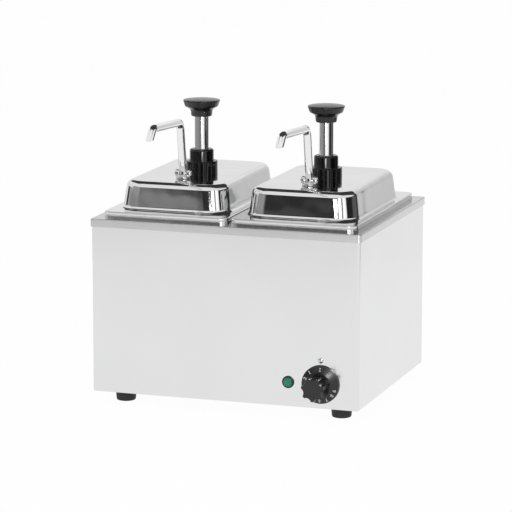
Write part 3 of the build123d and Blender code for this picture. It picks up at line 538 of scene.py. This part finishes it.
def makeSurround(name, values):
    # an upright band round the object that shows only in reflections
    bpy.ops.object.select_all(action="DESELECT")
    bpy.ops.mesh.primitive_circle_add(vertices=studio["bandSides"], radius=values["radius"],
                                      fill_type="NOTHING", location=(0, 0, values["low"]))
    band = added(name)
    editMode()
    bpy.ops.mesh.select_all(action="SELECT")
    bpy.ops.mesh.extrude_region_move(TRANSFORM_OT_translate={"value": (0, 0, values["high"] - values["low"])})
    objectMode()
    applyPlace(band)
    material, nodes, links, shader = newMaterial(name + "Paint")
    coords = nodes.new("ShaderNodeTexCoord")
    gradient = nodes.new("ShaderNodeTexGradient")
    gradient.gradient_type = "RADIAL"
    ramp = nodes.new("ShaderNodeValToRGB")
    glow = nodes.new("ShaderNodeEmission")
    glow.inputs["Strength"].default_value = values["gain"]
    links.new(coords.outputs["Object"], gradient.inputs["Vector"])
    links.new(gradient.outputs["Fac"], ramp.inputs["Fac"])
    links.new(ramp.outputs["Color"], glow.inputs["Color"])
    links.new(glow.outputs["Emission"], nodes["Material Output"].inputs["Surface"])
    places = sorted(((0.25 + angle / 360) % 1.0, shade / values["gain"]) for angle, shade in values["greys"])
    stops = ramp.color_ramp.elements
    while len(stops) < len(places):
        stops.new(0.5)
    for stop, (position, shade) in zip(stops, places):
        stop.position = position
        stop.color = (shade, shade, shade, 1)
    band.data.materials.append(material)
    reflectedOnly(band)


def makeCanopy():
    bpy.ops.object.select_all(action="DESELECT")
    tilt = (radians(studio["canopyTilt"]), 0, 0)
    bpy.ops.mesh.primitive_plane_add(size=1, location=studio["canopyPlace"], rotation=tilt)
    canopy = added("darkCanopy")
    canopy.scale = (*studio["canopySize"], 1)
    material, nodes, links, shader = newMaterial("canopyPaint")
    glow = nodes.new("ShaderNodeEmission")
    glow.inputs["Color"].default_value = (studio["canopyShade"],) * 3 + (1,)
    links.new(glow.outputs["Emission"], nodes["Material Output"].inputs["Surface"])
    canopy.data.materials.append(material)
    reflectedOnly(canopy)


def makeSheenCard():
    # a small bright card that shows only as sheen on the knob's skirt
    bpy.ops.object.select_all(action="DESELECT")
    bpy.ops.mesh.primitive_plane_add(size=1, location=studio["sheenPlace"])
    card = added("sheenCard")
    card.scale = (*studio["sheenSize"], 1)
    card.rotation_euler = turnedTo(studio["sheenPlace"], studio["sheenAim"])
    material, nodes, links, shader = newMaterial("sheenPaint")
    glow = nodes.new("ShaderNodeEmission")
    glow.inputs["Strength"].default_value = studio["sheenShade"]
    links.new(glow.outputs["Emission"], nodes["Material Output"].inputs["Surface"])
    card.data.materials.append(material)
    reflectedOnly(card)


makeWorld()
makeFloor()
makeLamp("keyLamp", studio["keyPlace"], studio["keySize"], studio["keyPower"])
makeLamp("topLamp", studio["topPlace"], studio["topSize"], studio["topPower"])
makeSurround("lowSurround", lowSurround)
makeSurround("sideSurround", sideSurround)
makeSurround("highSurround", highSurround)
makeCanopy()
makeSheenCard()
print("camera, floor, lamps and cards")

# Wrapper: lip with a rounded fold, upright folds and open top
wrapperSizes = {"width": 350.0, "depth": 290.0, "height": 219.8, "fold": 3.0, "lip": 14.0, "lipRise": 0.05,
                "lipCorner": 1.0, "lipBend": 1.8, "sheet": 1.0, "bendSteps": 5, "cornerSteps": 8}


def makeWrapper():
    s = wrapperSizes
    low = levels["footHeight"]
    lipWidth, lipDepth = s["width"] - 2 * s["lip"], s["depth"] - 2 * s["lip"]
    profile = [(lipWidth, lipDepth, s["lipCorner"], low + s["lipRise"], 0),
               (s["width"], s["depth"], s["fold"], low, s["lipBend"]),
               (s["width"], s["depth"], s["fold"], low + s["height"], 0)]
    shell = pressedSheet("boxWrapper", (0, housingY), profile, s["bendSteps"], s["cornerSteps"], False)
    useModifier(shell, "SOLIDIFY", thickness=s["sheet"] * mm, offset=-1, use_even_offset=True)
    finishPiece(shell, "boxSheet", "housing", ["housing_wrapper"])


# Deck: folded edge, rounded top edge and two openings
deckSizes = {"width": 353.0, "depth": 293.0, "corner": 3.2, "skirt": 10.0, "sheet": 1.2, "edge": 1.1,
             "inside": 12.0, "openWidth": 143.5, "openLength": 244.0, "openCorner": 28.0, "cutReach": 5.0,
             "bendSteps": 5}


def makeDeck():
    s = deckSizes
    top = levels["deckTop"]
    profile = [(s["width"], s["depth"], s["corner"], top - s["skirt"], 0),
               (s["width"], s["depth"], s["corner"], top, s["edge"]),
               (s["width"] - s["inside"], s["depth"] - s["inside"], 0, top, None)]
    deck = pressedSheet("deckTop", (0, housingY), profile, s["bendSteps"])
    useModifier(deck, "SOLIDIFY", thickness=s["sheet"] * mm, offset=-1, use_even_offset=True)
    opening = (s["openWidth"], s["openLength"], s["openCorner"])
    low, high = top - s["cutReach"], top + s["cutReach"]
    cutWith(deck, [roundedBlock("cutter", *opening, (x, housingY), low, high) for x in sides.values()])
    finishPiece(deck, "deckSheet", "housing", ["deck_plate"])


makeWrapper()
makeDeck()
print("wrapper and deck")

# Pan: turned-down rim, mouth, tapered walls and rounded floor
panSizes = {"width": 164.5, "length": 265.0, "corner": 12.0, "lip": 4.0, "rim": 13.3, "depth": 149.2,
            "taper": 2.8, "bodyCorner": 25.2, "sheet": 0.8, "lipBend": 1.5, "mouthBend": 2.5, "mouthDrop": 0.1,
            "floorBend": 12.0, "floorInside": 70.0}


def makePan():
    s = panSizes
    seat = levels["lidSeat"]
    mouthWidth, mouthLength = s["width"] - 2 * s["rim"], s["length"] - 2 * s["rim"]
    inward = s["depth"] * tan(radians(s["taper"]))
    floorWidth, floorLength = mouthWidth - 2 * inward, mouthLength - 2 * inward
    low = seat - s["depth"]
    profile = [(s["width"], s["length"], s["corner"], seat - s["lip"], 0),
               (s["width"], s["length"], s["corner"], seat, s["lipBend"]),
               (mouthWidth, mouthLength, s["bodyCorner"], seat - s["mouthDrop"], s["mouthBend"]),
               (floorWidth, floorLength, s["bodyCorner"] - inward / 2, low, s["floorBend"]),
               (mouthWidth - s["floorInside"], mouthLength - s["floorInside"], 0, low, None)]
    pan = pressedSheet("panModel", (0, housingY), profile)
    useModifier(pan, "SOLIDIFY", thickness=s["sheet"] * mm, offset=-1, use_even_offset=True)
    return pan


# Lid: one drawn dome with a soft foot and a soft top edge, a turned-down rim and two holes
lidSizes = {"width": 163.5, "length": 264.0, "corner": 11.5, "sheet": 1.0, "lipBend": 1.2,
            "footWidth": 142.0, "footLength": 216.0, "footCorner": 28.0, "taper": 7.0, "topCorner": 26.0,
            "footRise": 0.1, "footBend": 5.0, "topBend": 9.0, "topInside": 50.0, "pumpHole": 16.3,
            "spoutHole": 6.5, "holeSides": 48, "cutDepth": 9.0, "cutRise": 5.0, "bendSteps": 8,
            "cornerSteps": 12}


def makeLid():
    s = lidSizes
    seat, rim, top = levels["lidSeat"], levels["rim"], levels["lidTop"]
    inward = (top - rim) * tan(radians(s["taper"]))
    profile = [(s["width"], s["length"], s["corner"], seat, 0),
               (s["width"], s["length"], s["corner"], rim, s["lipBend"]),
               (s["footWidth"], s["footLength"], s["footCorner"], rim + s["footRise"], s["footBend"]),
               (s["footWidth"] - 2 * inward, s["footLength"] - 2 * inward, s["topCorner"], top, s["topBend"]),
               (s["footWidth"] - s["topInside"], s["footLength"] - s["topInside"], 0, top, None)]
    lid = pressedSheet("lidModel", (0, housingY), profile, s["bendSteps"], s["cornerSteps"])
    useModifier(lid, "SOLIDIFY", thickness=s["sheet"] * mm, offset=-1, use_even_offset=True)
    for radius, y in ((s["pumpHole"], pumpY), (s["spoutHole"], spoutY)):
        hole = [(radius, top - s["cutDepth"]), (radius, top + s["cutRise"])]
        cutWith(lid, [turnedSolid("cutter", (0, y), hole, s["holeSides"])])
    return lid


panModel = makePan()
lidModel = makeLid()
for side, x in sides.items():
    pan = copyOf(panModel, f"pan{side.title()}", (x, 0, 0))
    finishPiece(pan, "panSheet", f"{side}_pan", [f"pan_{side}"])
    lid = copyOf(lidModel, f"lid{side.title()}", (x, 0, 0))
    finishPiece(lid, "lidSheet", f"{side}_lid", [f"lid_{side}"])
drop(panModel, lidModel)
print("pans and lids")

# Pump: bored cylinder with its black head, fluted nut, bright tube and press knob
pumpSizes = {
    "radius": 16.0, "bore": 14.5, "shoulder": 20.0, "shoulderHeight": 2.5, "floor": 208.2, "guide": 25.0,
    "headRadius": 15.5, "neckEdge": ((0.3, 0.4), (0.0, 1.6)), "tubeHole": 9.31,
    "headEdge": ((0.0, -2.4), (-0.3, -1.4), (-1.0, -0.6), (-2.2, -0.1), (-3.0, 0.0)),
    "holeEdge": ((0.9, -0.2), (0.0, -0.9)), "nutHeight": 12.5, "nutRadius": 20.2, "nutFit": 0.1, "nutEdge": 0.6,
    "fluteCount": 16, "fluteRadius": 2.1, "fluteOut": 0.75, "fluteBend": 0.7, "fluteAngle": 40,
    "tubeRadius": 9.25, "tubeWall": 1.2, "tubeFoot": 282.2, "tubeSocket": 13.0, "socketFit": 0.05,
    "tubeSides": 72, "outerSides": 96, "fluteSides": 16, "bendSteps": 3,
}
pressKnobRings = [
    (9.3, 0.0), (11.6, 0.0), (12.9, 0.5), (13.5, 2.0), (13.8, 6.0), (14.3, 8.0), (15.6, 9.8), (17.8, 11.2),
    (20.6, 12.6), (21.4, 13.6), (22.3, 16.3), (23.3, 19.2), (23.65, 20.1), (23.5, 20.7), (22.7, 21.0),
    (21.0, 21.25), (16.0, 21.8), (9.0, 22.2), (3.0, 22.3),
]


def makeCylinder(x):
    s = pumpSizes
    under = levels["lidTop"] - lidSizes["sheet"]
    headTop = levels["cylinderTop"]
    threadTop = levels["lidTop"] + s["nutHeight"]
    rings = [(s["bore"], s["floor"]), (s["radius"], s["floor"]), (s["radius"], under - s["shoulderHeight"]),
             (s["shoulder"], under - s["shoulderHeight"]), (s["shoulder"], under), (s["radius"], under),
             (s["radius"], threadTop)]
    rings += edgeRings(s["headRadius"], threadTop, s["neckEdge"])
    rings += edgeRings(s["headRadius"], headTop, s["headEdge"])
    rings += edgeRings(s["tubeHole"], headTop, s["holeEdge"])
    rings += [(s["tubeHole"], headTop - s["guide"]), (s["bore"], headTop - s["guide"])]
    return turnedTube("pumpCylinder", (x, pumpY), rings, s["tubeSides"])


def makeLockNut(x):
    s = pumpSizes
    low = levels["lidTop"]
    high = low + s["nutHeight"]
    inner, outer = s["radius"] + s["nutFit"], s["nutRadius"]
    rings = [(inner, low), (outer, low), (outer, high - s["nutEdge"]), (outer - s["nutEdge"], high),
             (inner, high)]
    nut = turnedTube("lockNut", (x, pumpY), rings, s["outerSides"])
    flutes = []
    for number in range(s["fluteCount"]):
        angle = 2 * pi * (number + 0.5) / s["fluteCount"]
        reach = outer + s["fluteOut"]
        place = (x + reach * cos(angle), pumpY + reach * sin(angle))
        flute = [(s["fluteRadius"], low - past), (s["fluteRadius"], high + past)]
        flutes.append(turnedSolid("cutter", place, flute, s["fluteSides"]))
    cutWith(nut, [joined("cutter", flutes)])
    useModifier(nut, "BEVEL", width=s["fluteBend"] * mm, segments=s["bendSteps"], limit_method="ANGLE",
                angle_limit=radians(s["fluteAngle"]))
    return nut


def makePlunger(x):
    s = pumpSizes
    foot = levels["pressKnob"]
    top = foot + s["tubeSocket"]
    inner, outer = s["tubeRadius"] - s["tubeWall"], s["tubeRadius"]
    tubeRings = [(inner, s["tubeFoot"]), (outer, s["tubeFoot"]), (outer, top), (inner, top)]
    tube = turnedTube("plungerTube", (x, pumpY), tubeRings, s["tubeSides"])
    knobRings = edgeRings(0, foot, pressKnobRings)
    pressKnob = turnedSolid("pressKnob", (x, pumpY), knobRings, s["outerSides"])
    socket = [(outer + s["socketFit"], foot - past), (outer + s["socketFit"], top)]
    cutWith(pressKnob, [turnedSolid("cutter", (x, pumpY), socket, s["tubeSides"])])
    return tube, pressKnob


def makePump(x):
    return makeCylinder(x), makeLockNut(x), *makePlunger(x)


pumpFinishes = [
    ("glossPlastic", "lid", "black_plastic", "pump_cylinder"),
    ("glossPlastic", "lid", "black_plastic", "lock_nut"),
    ("chromeTube", "plunger", "polished_steel", "plunger_tube"),
    ("knobPlastic", "plunger", "knob_plastic", "press_knob"),
]
pumpModels = makePump(0)
for side, x in sides.items():
    for model, (finish, body, slot, node) in zip(pumpModels, pumpFinishes):
        piece = copyOf(model, f"{model.name}{side.title()}", (x, 0, 0))
        finishPiece(piece, finish, f"{side}_{body}", [f"{node}_{side}"], 40)
drop(*pumpModels)
print("pumps")

# Spout: a tube led through its bends, cut level at the tip, and the nut with round wings at its foot
spoutSizes = {
    "radius": 5.0, "wall": 0.8, "foot": 257.5, "overhang": 41.98, "lean": 9.5, "leanStart": 9.0, "rise": 73.0,
    "armRise": 5.5, "drop": 12.4, "tipAngle": 42.0, "bends": (40.0, 11.0, 11.0), "beyond": 9.0,
    "turnStep": 7.0, "leastSteps": 4, "sides": 40,
}
wingSizes = {
    "hub": 9.0, "hubEdge": ((0.0, 0.2), (0.0, 2.6), (-1.2, 3.4), (-1.4, 4.7), (-2.4, 5.5)), "lobeReach": 7.4,
    "lobeRise": 6.3, "lobe": (4.2, 3.4, 5.2), "lobeTilt": 14, "grain": 0.4, "smoothing": 0.5, "riserBore": 6.3,
    "riserStand": 4.2, "tubeBore": 5.3, "boreStep": 0.1, "cutRise": 20.0,
    "hubSides": 48, "boreSides": 40, "lobeSides": 32, "lobeRings": 16,
}


def spoutCorners():
    s = spoutSizes
    top = levels["lidTop"]
    slope = tan(radians(s["tipAngle"]))
    tipY = frontY - s["overhang"] + s["radius"] / cos(radians(s["tipAngle"]))
    tipZ = top + s["rise"] + s["armRise"] - s["drop"]
    return tipZ, [
        Vector((0, spoutY, s["foot"])),
        Vector((0, spoutY, top + s["leanStart"])),
        Vector((0, spoutY - (s["rise"] - s["leanStart"]) * tan(radians(s["lean"])), top + s["rise"])),
        Vector((0, tipY + s["drop"] * slope, top + s["rise"] + s["armRise"])),
        Vector((0, tipY - s["beyond"] * slope, tipZ - s["beyond"])),
    ]


def makeSpout():
    s = spoutSizes
    tipZ, corners = spoutCorners()
    tube = ringStart("spoutTube", corners[0].xy, s["radius"], s["foot"], s["sides"], "NOTHING")
    here = corners[0]
    for number, bend in enumerate(s["bends"], start=1):
        corner = corners[number]
        before = (corner - corners[number - 1]).normalized()
        after = (corners[number + 1] - corner).normalized()
        swing = before.angle(after)
        back = bend * tan(swing / 2)
        start = corner - before * back
        bpy.ops.mesh.extrude_region_move(TRANSFORM_OT_translate={"value": (start - here) * mm})
        axis = before.cross(after).normalized()
        centre = start + axis.cross(before).normalized() * bend
        # the tool spins the other way round its axis
        steps = max(s["leastSteps"], round(swing / radians(s["turnStep"])))
        bpy.ops.mesh.spin(steps=steps, angle=swing, center=centre * mm, axis=-axis)
        here = corner + after * back
    bpy.ops.mesh.extrude_region_move(TRANSFORM_OT_translate={"value": (corners[-1] - here) * mm})
    bpy.ops.mesh.select_all(action="SELECT")
    bpy.ops.mesh.remove_doubles(threshold=0.00001)
    bpy.ops.mesh.bisect(plane_co=(0, corners[-1].y * mm, tipZ * mm), plane_no=(0, 0, 1))
    objectMode()
    applyPlace(tube)
    edge = (corners[3].y + corners[4].y) / 2 * mm
    chooseVerts(tube, lambda co: co.z < (tipZ - 0.01) * mm and co.y < edge)
    bpy.ops.mesh.delete(type="VERT")
    bpy.ops.mesh.select_all(action="SELECT")
    bpy.ops.mesh.normals_make_consistent(inside=False)
    objectMode()
    useModifier(tube, "SOLIDIFY", thickness=s["wall"] * mm, offset=-1, use_even_offset=True)
    return tube


def makeWingNut():
    s = wingSizes
    top = levels["lidTop"]
    parts = [turnedSolid("wingNut", (0, spoutY), edgeRings(s["hub"], top, s["hubEdge"]), s["hubSides"])]
    for way in (-1, 1):
        bpy.ops.object.select_all(action="DESELECT")
        place = (way * s["lobeReach"] * mm, spoutY * mm, (top + s["lobeRise"]) * mm)
        bpy.ops.mesh.primitive_uv_sphere_add(segments=s["lobeSides"], ring_count=s["lobeRings"], radius=mm,
                                             location=place)
        lobe = bpy.context.object
        lobe.scale = s["lobe"]
        lobe.rotation_euler = (0, radians(way * s["lobeTilt"]), 0)
        applyPlace(lobe)
        parts.append(lobe)
    nut = joined("wingNut", parts)
    useModifier(nut, "REMESH", mode="VOXEL", voxel_size=s["grain"] * mm)
    useModifier(nut, "SMOOTH", factor=s["smoothing"], iterations=4)
    bore = [(s["riserBore"], top - past), (s["riserBore"], top + s["riserStand"]),
            (s["tubeBore"], top + s["riserStand"] + s["boreStep"]), (s["tubeBore"], top + s["cutRise"])]
    cutWith(nut, [turnedSolid("cutter", (0, spoutY), bore, s["boreSides"])])
    applyPlace(nut)
    return nut


spoutModel = makeSpout()
wingModel = makeWingNut()
for side, x in sides.items():
    spout = copyOf(spoutModel, f"spoutTube{side.title()}", (x, 0, 0))
    finishPiece(spout, "chromeTube", f"{side}_spout", [f"spout_{side}"], 40, False)
    wings = copyOf(wingModel, f"wingNut{side.title()}", (x, 0, 0))
    finishPiece(wings, "screwSteel", f"{side}_lid", [f"wing_nut_{side}"], 50, False)
drop(spoutModel, wingModel)
print("spouts and wing nuts")

# Control knob: skirt with white marks, lobed grip and the bore for the spindle
knobSizes = {
    "x": 126.0, "z": 47.0, "gap": 1.0, "skirt": 24.0, "rim": 2.6, "crown": 6.5, "grip": 14.6, "length": 34.0,
    "skirtEdge": ((0.0, -0.9), (-0.25, -0.3), (-0.9, 0.0)), "crownEdge": ((1.2, -0.35), (-1.8, 0.05)),
    "lobes": 7, "scallop": 6.6, "scallopDepth": 2.9, "scallopFoot": 3.0, "edge": 1.0, "edgeAngle": 28,
    "hollow": 16.0, "hollowDepth": 3.3, "bore": 3.05, "boreDepth": 22.3, "flat": 2.25,
    "skirtSides": 96, "gripSides": 112, "scallopSides": 40, "boreSides": 40, "hollowSides": 64, "edgeSteps": 4,
}
knobMarks = {
    "size": 6.4, "reach": 19.7, "depth": 0.3, "proud": 0.12, "bolder": 0.12, "dotAngle": 88.0,
    "dots": ((18.0, 1.1), (20.9, 0.9)), "dotEdge": ((0.0, -0.4), (0.0, 0.1), (-0.3, 0.2)),
    "dotSides": 20, "curveSteps": 3,
    "numbers": ((1, 130), (2, 158), (3, 186), (4, 214), (5, 242), (6, 270), (7, 298), (8, 323), (9, 343)),
}


def makeKnob():
    s = knobSizes
    # made flat: z runs towards the viewer, y up
    rings = [(s["skirt"], 0)] + edgeRings(s["skirt"], s["rim"], s["skirtEdge"])
    rings += edgeRings(s["grip"], s["crown"], s["crownEdge"])
    skirt = turnedSolid("controlKnob", (0, 0), rings, s["skirtSides"])
    gripRings = [(s["grip"], s["crown"] - past), (s["grip"], s["length"])]
    grip = turnedSolid("grip", (0, 0), gripRings, s["gripSides"])
    flutes = []
    for number in range(s["lobes"]):
        angle = pi / 2 + 2 * pi * number / s["lobes"]
        reach = s["grip"] + s["scallop"] - s["scallopDepth"]
        place = (reach * cos(angle), reach * sin(angle))
        flute = [(s["scallop"], s["crown"] - s["scallopFoot"]), (s["scallop"], s["length"] + 2 * past)]
        flutes.append(turnedSolid("cutter", place, flute, s["scallopSides"]))
    cutWith(grip, [joined("cutter", flutes)])
    useModifier(grip, "BEVEL", width=s["edge"] * mm, segments=s["edgeSteps"], limit_method="ANGLE",
                angle_limit=radians(s["edgeAngle"]))
    useModifier(skirt, "BOOLEAN", object=grip, operation="UNION", solver="EXACT")
    boreRings = [(s["bore"], -2 * past), (s["bore"], s["boreDepth"])]
    bore = turnedSolid("cutter", (0, 0), boreRings, s["boreSides"])
    chooseVerts(bore, lambda co: True)
    bpy.ops.mesh.bisect(plane_co=(0, s["flat"] * mm, 0), plane_no=(0, 1, 0), use_fill=True, clear_outer=True)
    objectMode()
    drop(grip)
    hollowRings = [(s["hollow"], -2 * past), (s["hollow"], s["hollowDepth"])]
    hollow = turnedSolid("cutter", (0, 0), hollowRings, s["hollowSides"])
    cutWith(skirt, [hollow, bore])
    standUp(skirt, (s["x"], frontY - s["gap"], s["z"]))
    finishPiece(skirt, "knobPlastic", "control_knob", ["control_knob"])


def makeKnobMarks():
    s, m = knobSizes, knobMarks
    slope = (s["crown"] - s["rim"]) / (s["skirt"] - s["grip"])
    tilt = -Vector((1, slope)).angle(Vector((1, 0)))
    marks = []

    def level(reach):
        return s["rim"] + (s["skirt"] - reach) * slope

    for number, angle in m["numbers"]:
        bpy.ops.object.select_all(action="DESELECT")
        bpy.ops.object.text_add()
        words = bpy.context.object
        words.data.body = str(number)
        words.data.size = m["size"] * mm
        words.data.align_x = "CENTER"
        words.data.align_y = "CENTER"
        words.data.extrude = m["depth"] / 2 * mm
        words.data.offset = m["bolder"] * mm
        words.data.resolution_u = m["curveSteps"]
        pick(words)
        bpy.ops.object.convert(target="MESH")
        mark = bpy.context.object
        mark.rotation_euler = (tilt, 0, 0)
        mark.location = (0, m["reach"] * mm, (level(m["reach"]) + m["proud"] - m["depth"] / 2) * mm)
        applyPlace(mark)
        mark.rotation_euler = (0, 0, radians(angle - 90))
        applyPlace(mark)
        marks.append(mark)
    for reach, radius in m["dots"]:
        angle = radians(m["dotAngle"])
        place = (reach * cos(angle), reach * sin(angle))
        dotRings = edgeRings(radius, level(reach), m["dotEdge"])
        marks.append(turnedSolid("dot", place, dotRings, m["dotSides"]))
    standUp(joined("knobNumbers", marks), (s["x"], frontY - s["gap"], s["z"]))
    finishPiece(bpy.context.object, "dialWhite", "control_knob", (), 35, False)


makeKnob()
makeKnobMarks()
print("control knob")

# Pilot lamp and the domed stud above the knob
lampSizes = {
    "x": 84.0, "flange": 7.8, "flangeEdge": ((0.0, -0.9), (-0.25, -0.3), (-0.7, 0.0)), "height": 1.8,
    "recess": 6.1, "recessEdge": ((0.35, 0.0), (0.0, -0.3)), "depth": 1.0, "sleeve": 6.0, "bore": 5.0,
    "sleeveLength": 14.0, "stem": 8.0, "stemFit": 0.2, "lens": 5.9, "lensEdge": ((0.0, -0.2), (-0.3, 0.1)),
    "dome": 5.5, "domeFoot": 0.2, "domeRise": 1.0, "domeParts": 7, "domeStep": 12,
    "sides": 64,
}
studSizes = {"z": 77.0, "radius": 3.5, "edge": 0.3, "rise": 2.2, "domeParts": 8, "domeStep": 10.5,
             "shank": 1.9, "tail": 3.0, "sides": 40}


def makePilotLamp():
    s = lampSizes
    place = (s["x"], frontY, knobSizes["z"])
    base = s["height"] - s["depth"]
    bezelRings = [(s["bore"], -s["sleeveLength"]), (s["sleeve"], -s["sleeveLength"]), (s["sleeve"], 0),
                  (s["flange"], 0)]
    bezelRings += edgeRings(s["flange"], s["height"], s["flangeEdge"])
    bezelRings += edgeRings(s["recess"], s["height"], s["recessEdge"])
    bezelRings += [(s["recess"], base), (s["bore"], base)]
    bezel = standUp(turnedTube("lampBezel", (0, 0), bezelRings, s["sides"]), place)
    finishPiece(bezel, "bezelPlastic", "housing", ["lamp_bezel"])
    stem = s["bore"] - s["stemFit"]
    lensRings = [(stem, -s["stem"]), (stem, base), (s["lens"], base)]
    lensRings += edgeRings(s["lens"], s["height"], s["lensEdge"])
    lensRings += domeRings(s["dome"], s["height"] + s["domeFoot"], s["domeRise"], s["domeParts"], s["domeStep"])
    lens = standUp(turnedSolid("lampLens", (0, 0), lensRings, s["sides"]), place)
    finishPiece(lens, "greenLens", "housing", ["lamp_lens"])


def makeStud():
    s = studSizes
    rings = [(s["shank"], -s["tail"]), (s["shank"], 0), (s["radius"], 0), (s["radius"], s["edge"])]
    rings += domeRings(s["radius"], s["edge"], s["rise"] - s["edge"], s["domeParts"], s["domeStep"])
    stud = standUp(turnedSolid("pointerStud", (0, 0), rings, s["sides"]), (knobSizes["x"], frontY, s["z"]))
    finishPiece(stud, "screwSteel", "housing", ["pointer_stud"])


makePilotLamp()
makeStud()

# Feet with a screw recess and a stem through the base, and pan-head screws along the lip
footSizes = {
    "top": 13.8, "topEdge": ((-0.25, -2.2), (0.0, -2.0), (0.0, 0.0)), "bottom": 12.2,
    "bottomEdge": ((-1.6, 0.0), (-0.5, 0.45), (0.05, 1.6)), "recess": 6.0, "recessTaper": 1.0,
    "recessDepth": 7.0, "recessEdge": ((0.0, 0.4), (0.5, 0.0)), "stem": 4.0, "plate": 1.0, "barb": 5.5,
    "barbEdge": ((0.0, 0.0), (-0.2, 1.2)), "barbTaper": 0.8, "barbHeight": 4.0, "sides": 64,
    "places": ((-143, -99), (143, -99), (-143, 123), (143, 123)),
}
screwSizes = {
    "shank": 1.4, "shankRise": 1.5, "radius": 3.0, "height": 1.9, "crown": 0.6, "slot": 0.8, "slotDepth": 0.6,
    "headEdge": ((0.0, 0.0), (0.0, -0.7), (-0.5, -1.4), (-1.4, -1.8)), "sides": 32,
    "places": ((-163, -119), (150, -119), (-163, 143), (163, 143), (0, -119), (0, 143), (-163, 12), (163, 12)),
}


def undersideOf(node):
    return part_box(node)[0][2] / mm


def makeFeet():
    s = footSizes
    base = undersideOf("base_plate")
    inside = base + s["plate"]
    rings = [(s["recess"] - s["recessTaper"], s["recessDepth"])] + edgeRings(s["recess"], 0.0, s["recessEdge"])
    rings += edgeRings(s["bottom"], 0.0, s["bottomEdge"]) + edgeRings(s["top"], base, s["topEdge"])
    rings += [(s["stem"], base), (s["stem"], inside)] + edgeRings(s["barb"], inside, s["barbEdge"])
    rings += [(s["stem"] - s["barbTaper"], inside + s["barbHeight"])]
    foot = turnedSolid("foot", (0, 0), rings, s["sides"])
    feet = [copyOf(foot, "foot", (x, y, 0)) for x, y in s["places"]]
    drop(foot)
    finishPiece(joined("rubberFeet", feet), "footRubber", "housing", ["rubber_feet"])


def makeScrews():
    s = screwSizes
    under = levels["footHeight"]
    low = under - s["height"]
    rings = [(s["shank"], under + s["shankRise"]), (s["shank"], under)]
    rings += edgeRings(s["radius"], under, s["headEdge"]) + [(s["crown"], low)]
    screw = turnedSolid("screw", (0, 0), rings, s["sides"])
    bpy.ops.object.select_all(action="DESELECT")
    bpy.ops.mesh.primitive_cube_add(size=1, location=(0, 0, low * mm))
    slot = bpy.context.object
    slot.scale = (3 * s["radius"] * mm, s["slot"] * mm, 2 * s["slotDepth"] * mm)
    applyPlace(slot)
    cutWith(screw, [slot])
    screws = [copyOf(screw, "screw", (x, y, 0)) for x, y in s["places"]]
    drop(screw)
    finishPiece(joined("baseScrews", screws), "screwSteel", "housing")


makeFeet()
makeScrews()
print("lamp, stud, feet and screws")

# Cable gland: hexagon against the rear wall and a ribbed cap nut with a rounded mouth
glandSizes = {
    "x": -120.0, "z": 47.0, "bore": 3.75, "sleeve": 8.0, "sleeveLength": 12.0, "cap": 10.0, "capFoot": 0.5,
    "reach": 18.0, "capEdge": ((0.0, -4.5), (-0.6, -2.4), (-2.2, -0.7), (-4.4, 0.0)),
    "mouthEdge": ((0.6, -0.2), (0.0, -1.0)), "ribs": 14, "ribRadius": 0.9, "ribDepth": 0.5, "ribFoot": 1.2,
    "hex": 12.5, "hexSides": 6, "hexHeight": 5.0, "hexOverlap": 0.5, "hexLow": ((-0.4, 0.0), (0.0, 0.5)),
    "hexHigh": ((0.0, -0.7), (-0.8, 0.0)), "capSides": 56, "grooveSides": 12,
}


def makeGland():
    s = glandSizes
    bodyRings = [(s["bore"], -s["sleeveLength"]), (s["sleeve"], -s["sleeveLength"]),
                 (s["sleeve"], s["capFoot"]), (s["cap"], s["capFoot"])]
    bodyRings += edgeRings(s["cap"], s["reach"], s["capEdge"])
    bodyRings += edgeRings(s["bore"], s["reach"], s["mouthEdge"])
    body = turnedTube("cableGland", (0, 0), bodyRings, s["capSides"])
    grooves = []
    for number in range(s["ribs"]):
        angle = 2 * pi * number / s["ribs"]
        reach = s["cap"] + s["ribRadius"] - s["ribDepth"]
        place = (reach * cos(angle), reach * sin(angle))
        groove = [(s["ribRadius"], s["hexHeight"] + s["ribFoot"]), (s["ribRadius"], s["reach"] + past)]
        grooves.append(turnedSolid("cutter", place, groove, s["grooveSides"]))
    cutWith(body, [joined("cutter", grooves)])
    inner = s["sleeve"] - s["hexOverlap"]
    flangeRings = [(inner, 0)] + edgeRings(s["hex"], 0, s["hexLow"])
    flangeRings += edgeRings(s["hex"], s["hexHeight"], s["hexHigh"]) + [(inner, s["hexHeight"])]
    flange = turnedTube("flange", (0, 0), flangeRings, s["hexSides"])
    gland = joined("cableGland", [body, flange])
    standUp(gland, (s["x"], rearY, s["z"]), -90)
    finishPiece(gland, "blackPlastic", "housing", ["cable_gland"])


makeGland()

# Nodes that keep their shape and get their finish
keptFinishes = {
    "base_plate": "zincSheet", "well_tank": "panSheet", "heating_element": "heaterSteel",
    "element_clamp": "zincSheet", "thermostat": "palePlastic", "thermostat_nut": "screwSteel",
    "thermostat_spindle": "screwSteel", "sensing_bulb": "copperTube", "lamp_body": "palePlastic",
    "gland_locknut": "blackPlastic", "terminal_block": "palePlastic", "return_spring": "springWire",
    "valve_body": "blackPlastic", "intake_tube": "milkyPlastic", "discharge_riser": "chromeTube",
    "piston": "blackPlastic", "inlet_disc": "palePlastic", "outlet_disc": "palePlastic",
}
for name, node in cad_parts.items():
    base = name.removesuffix("_left").removesuffix("_right")
    if base in keptFinishes:
        node.data.materials.clear()
        node.data.materials.append(finishes[keptFinishes[base]])
print("gland and kept nodes")
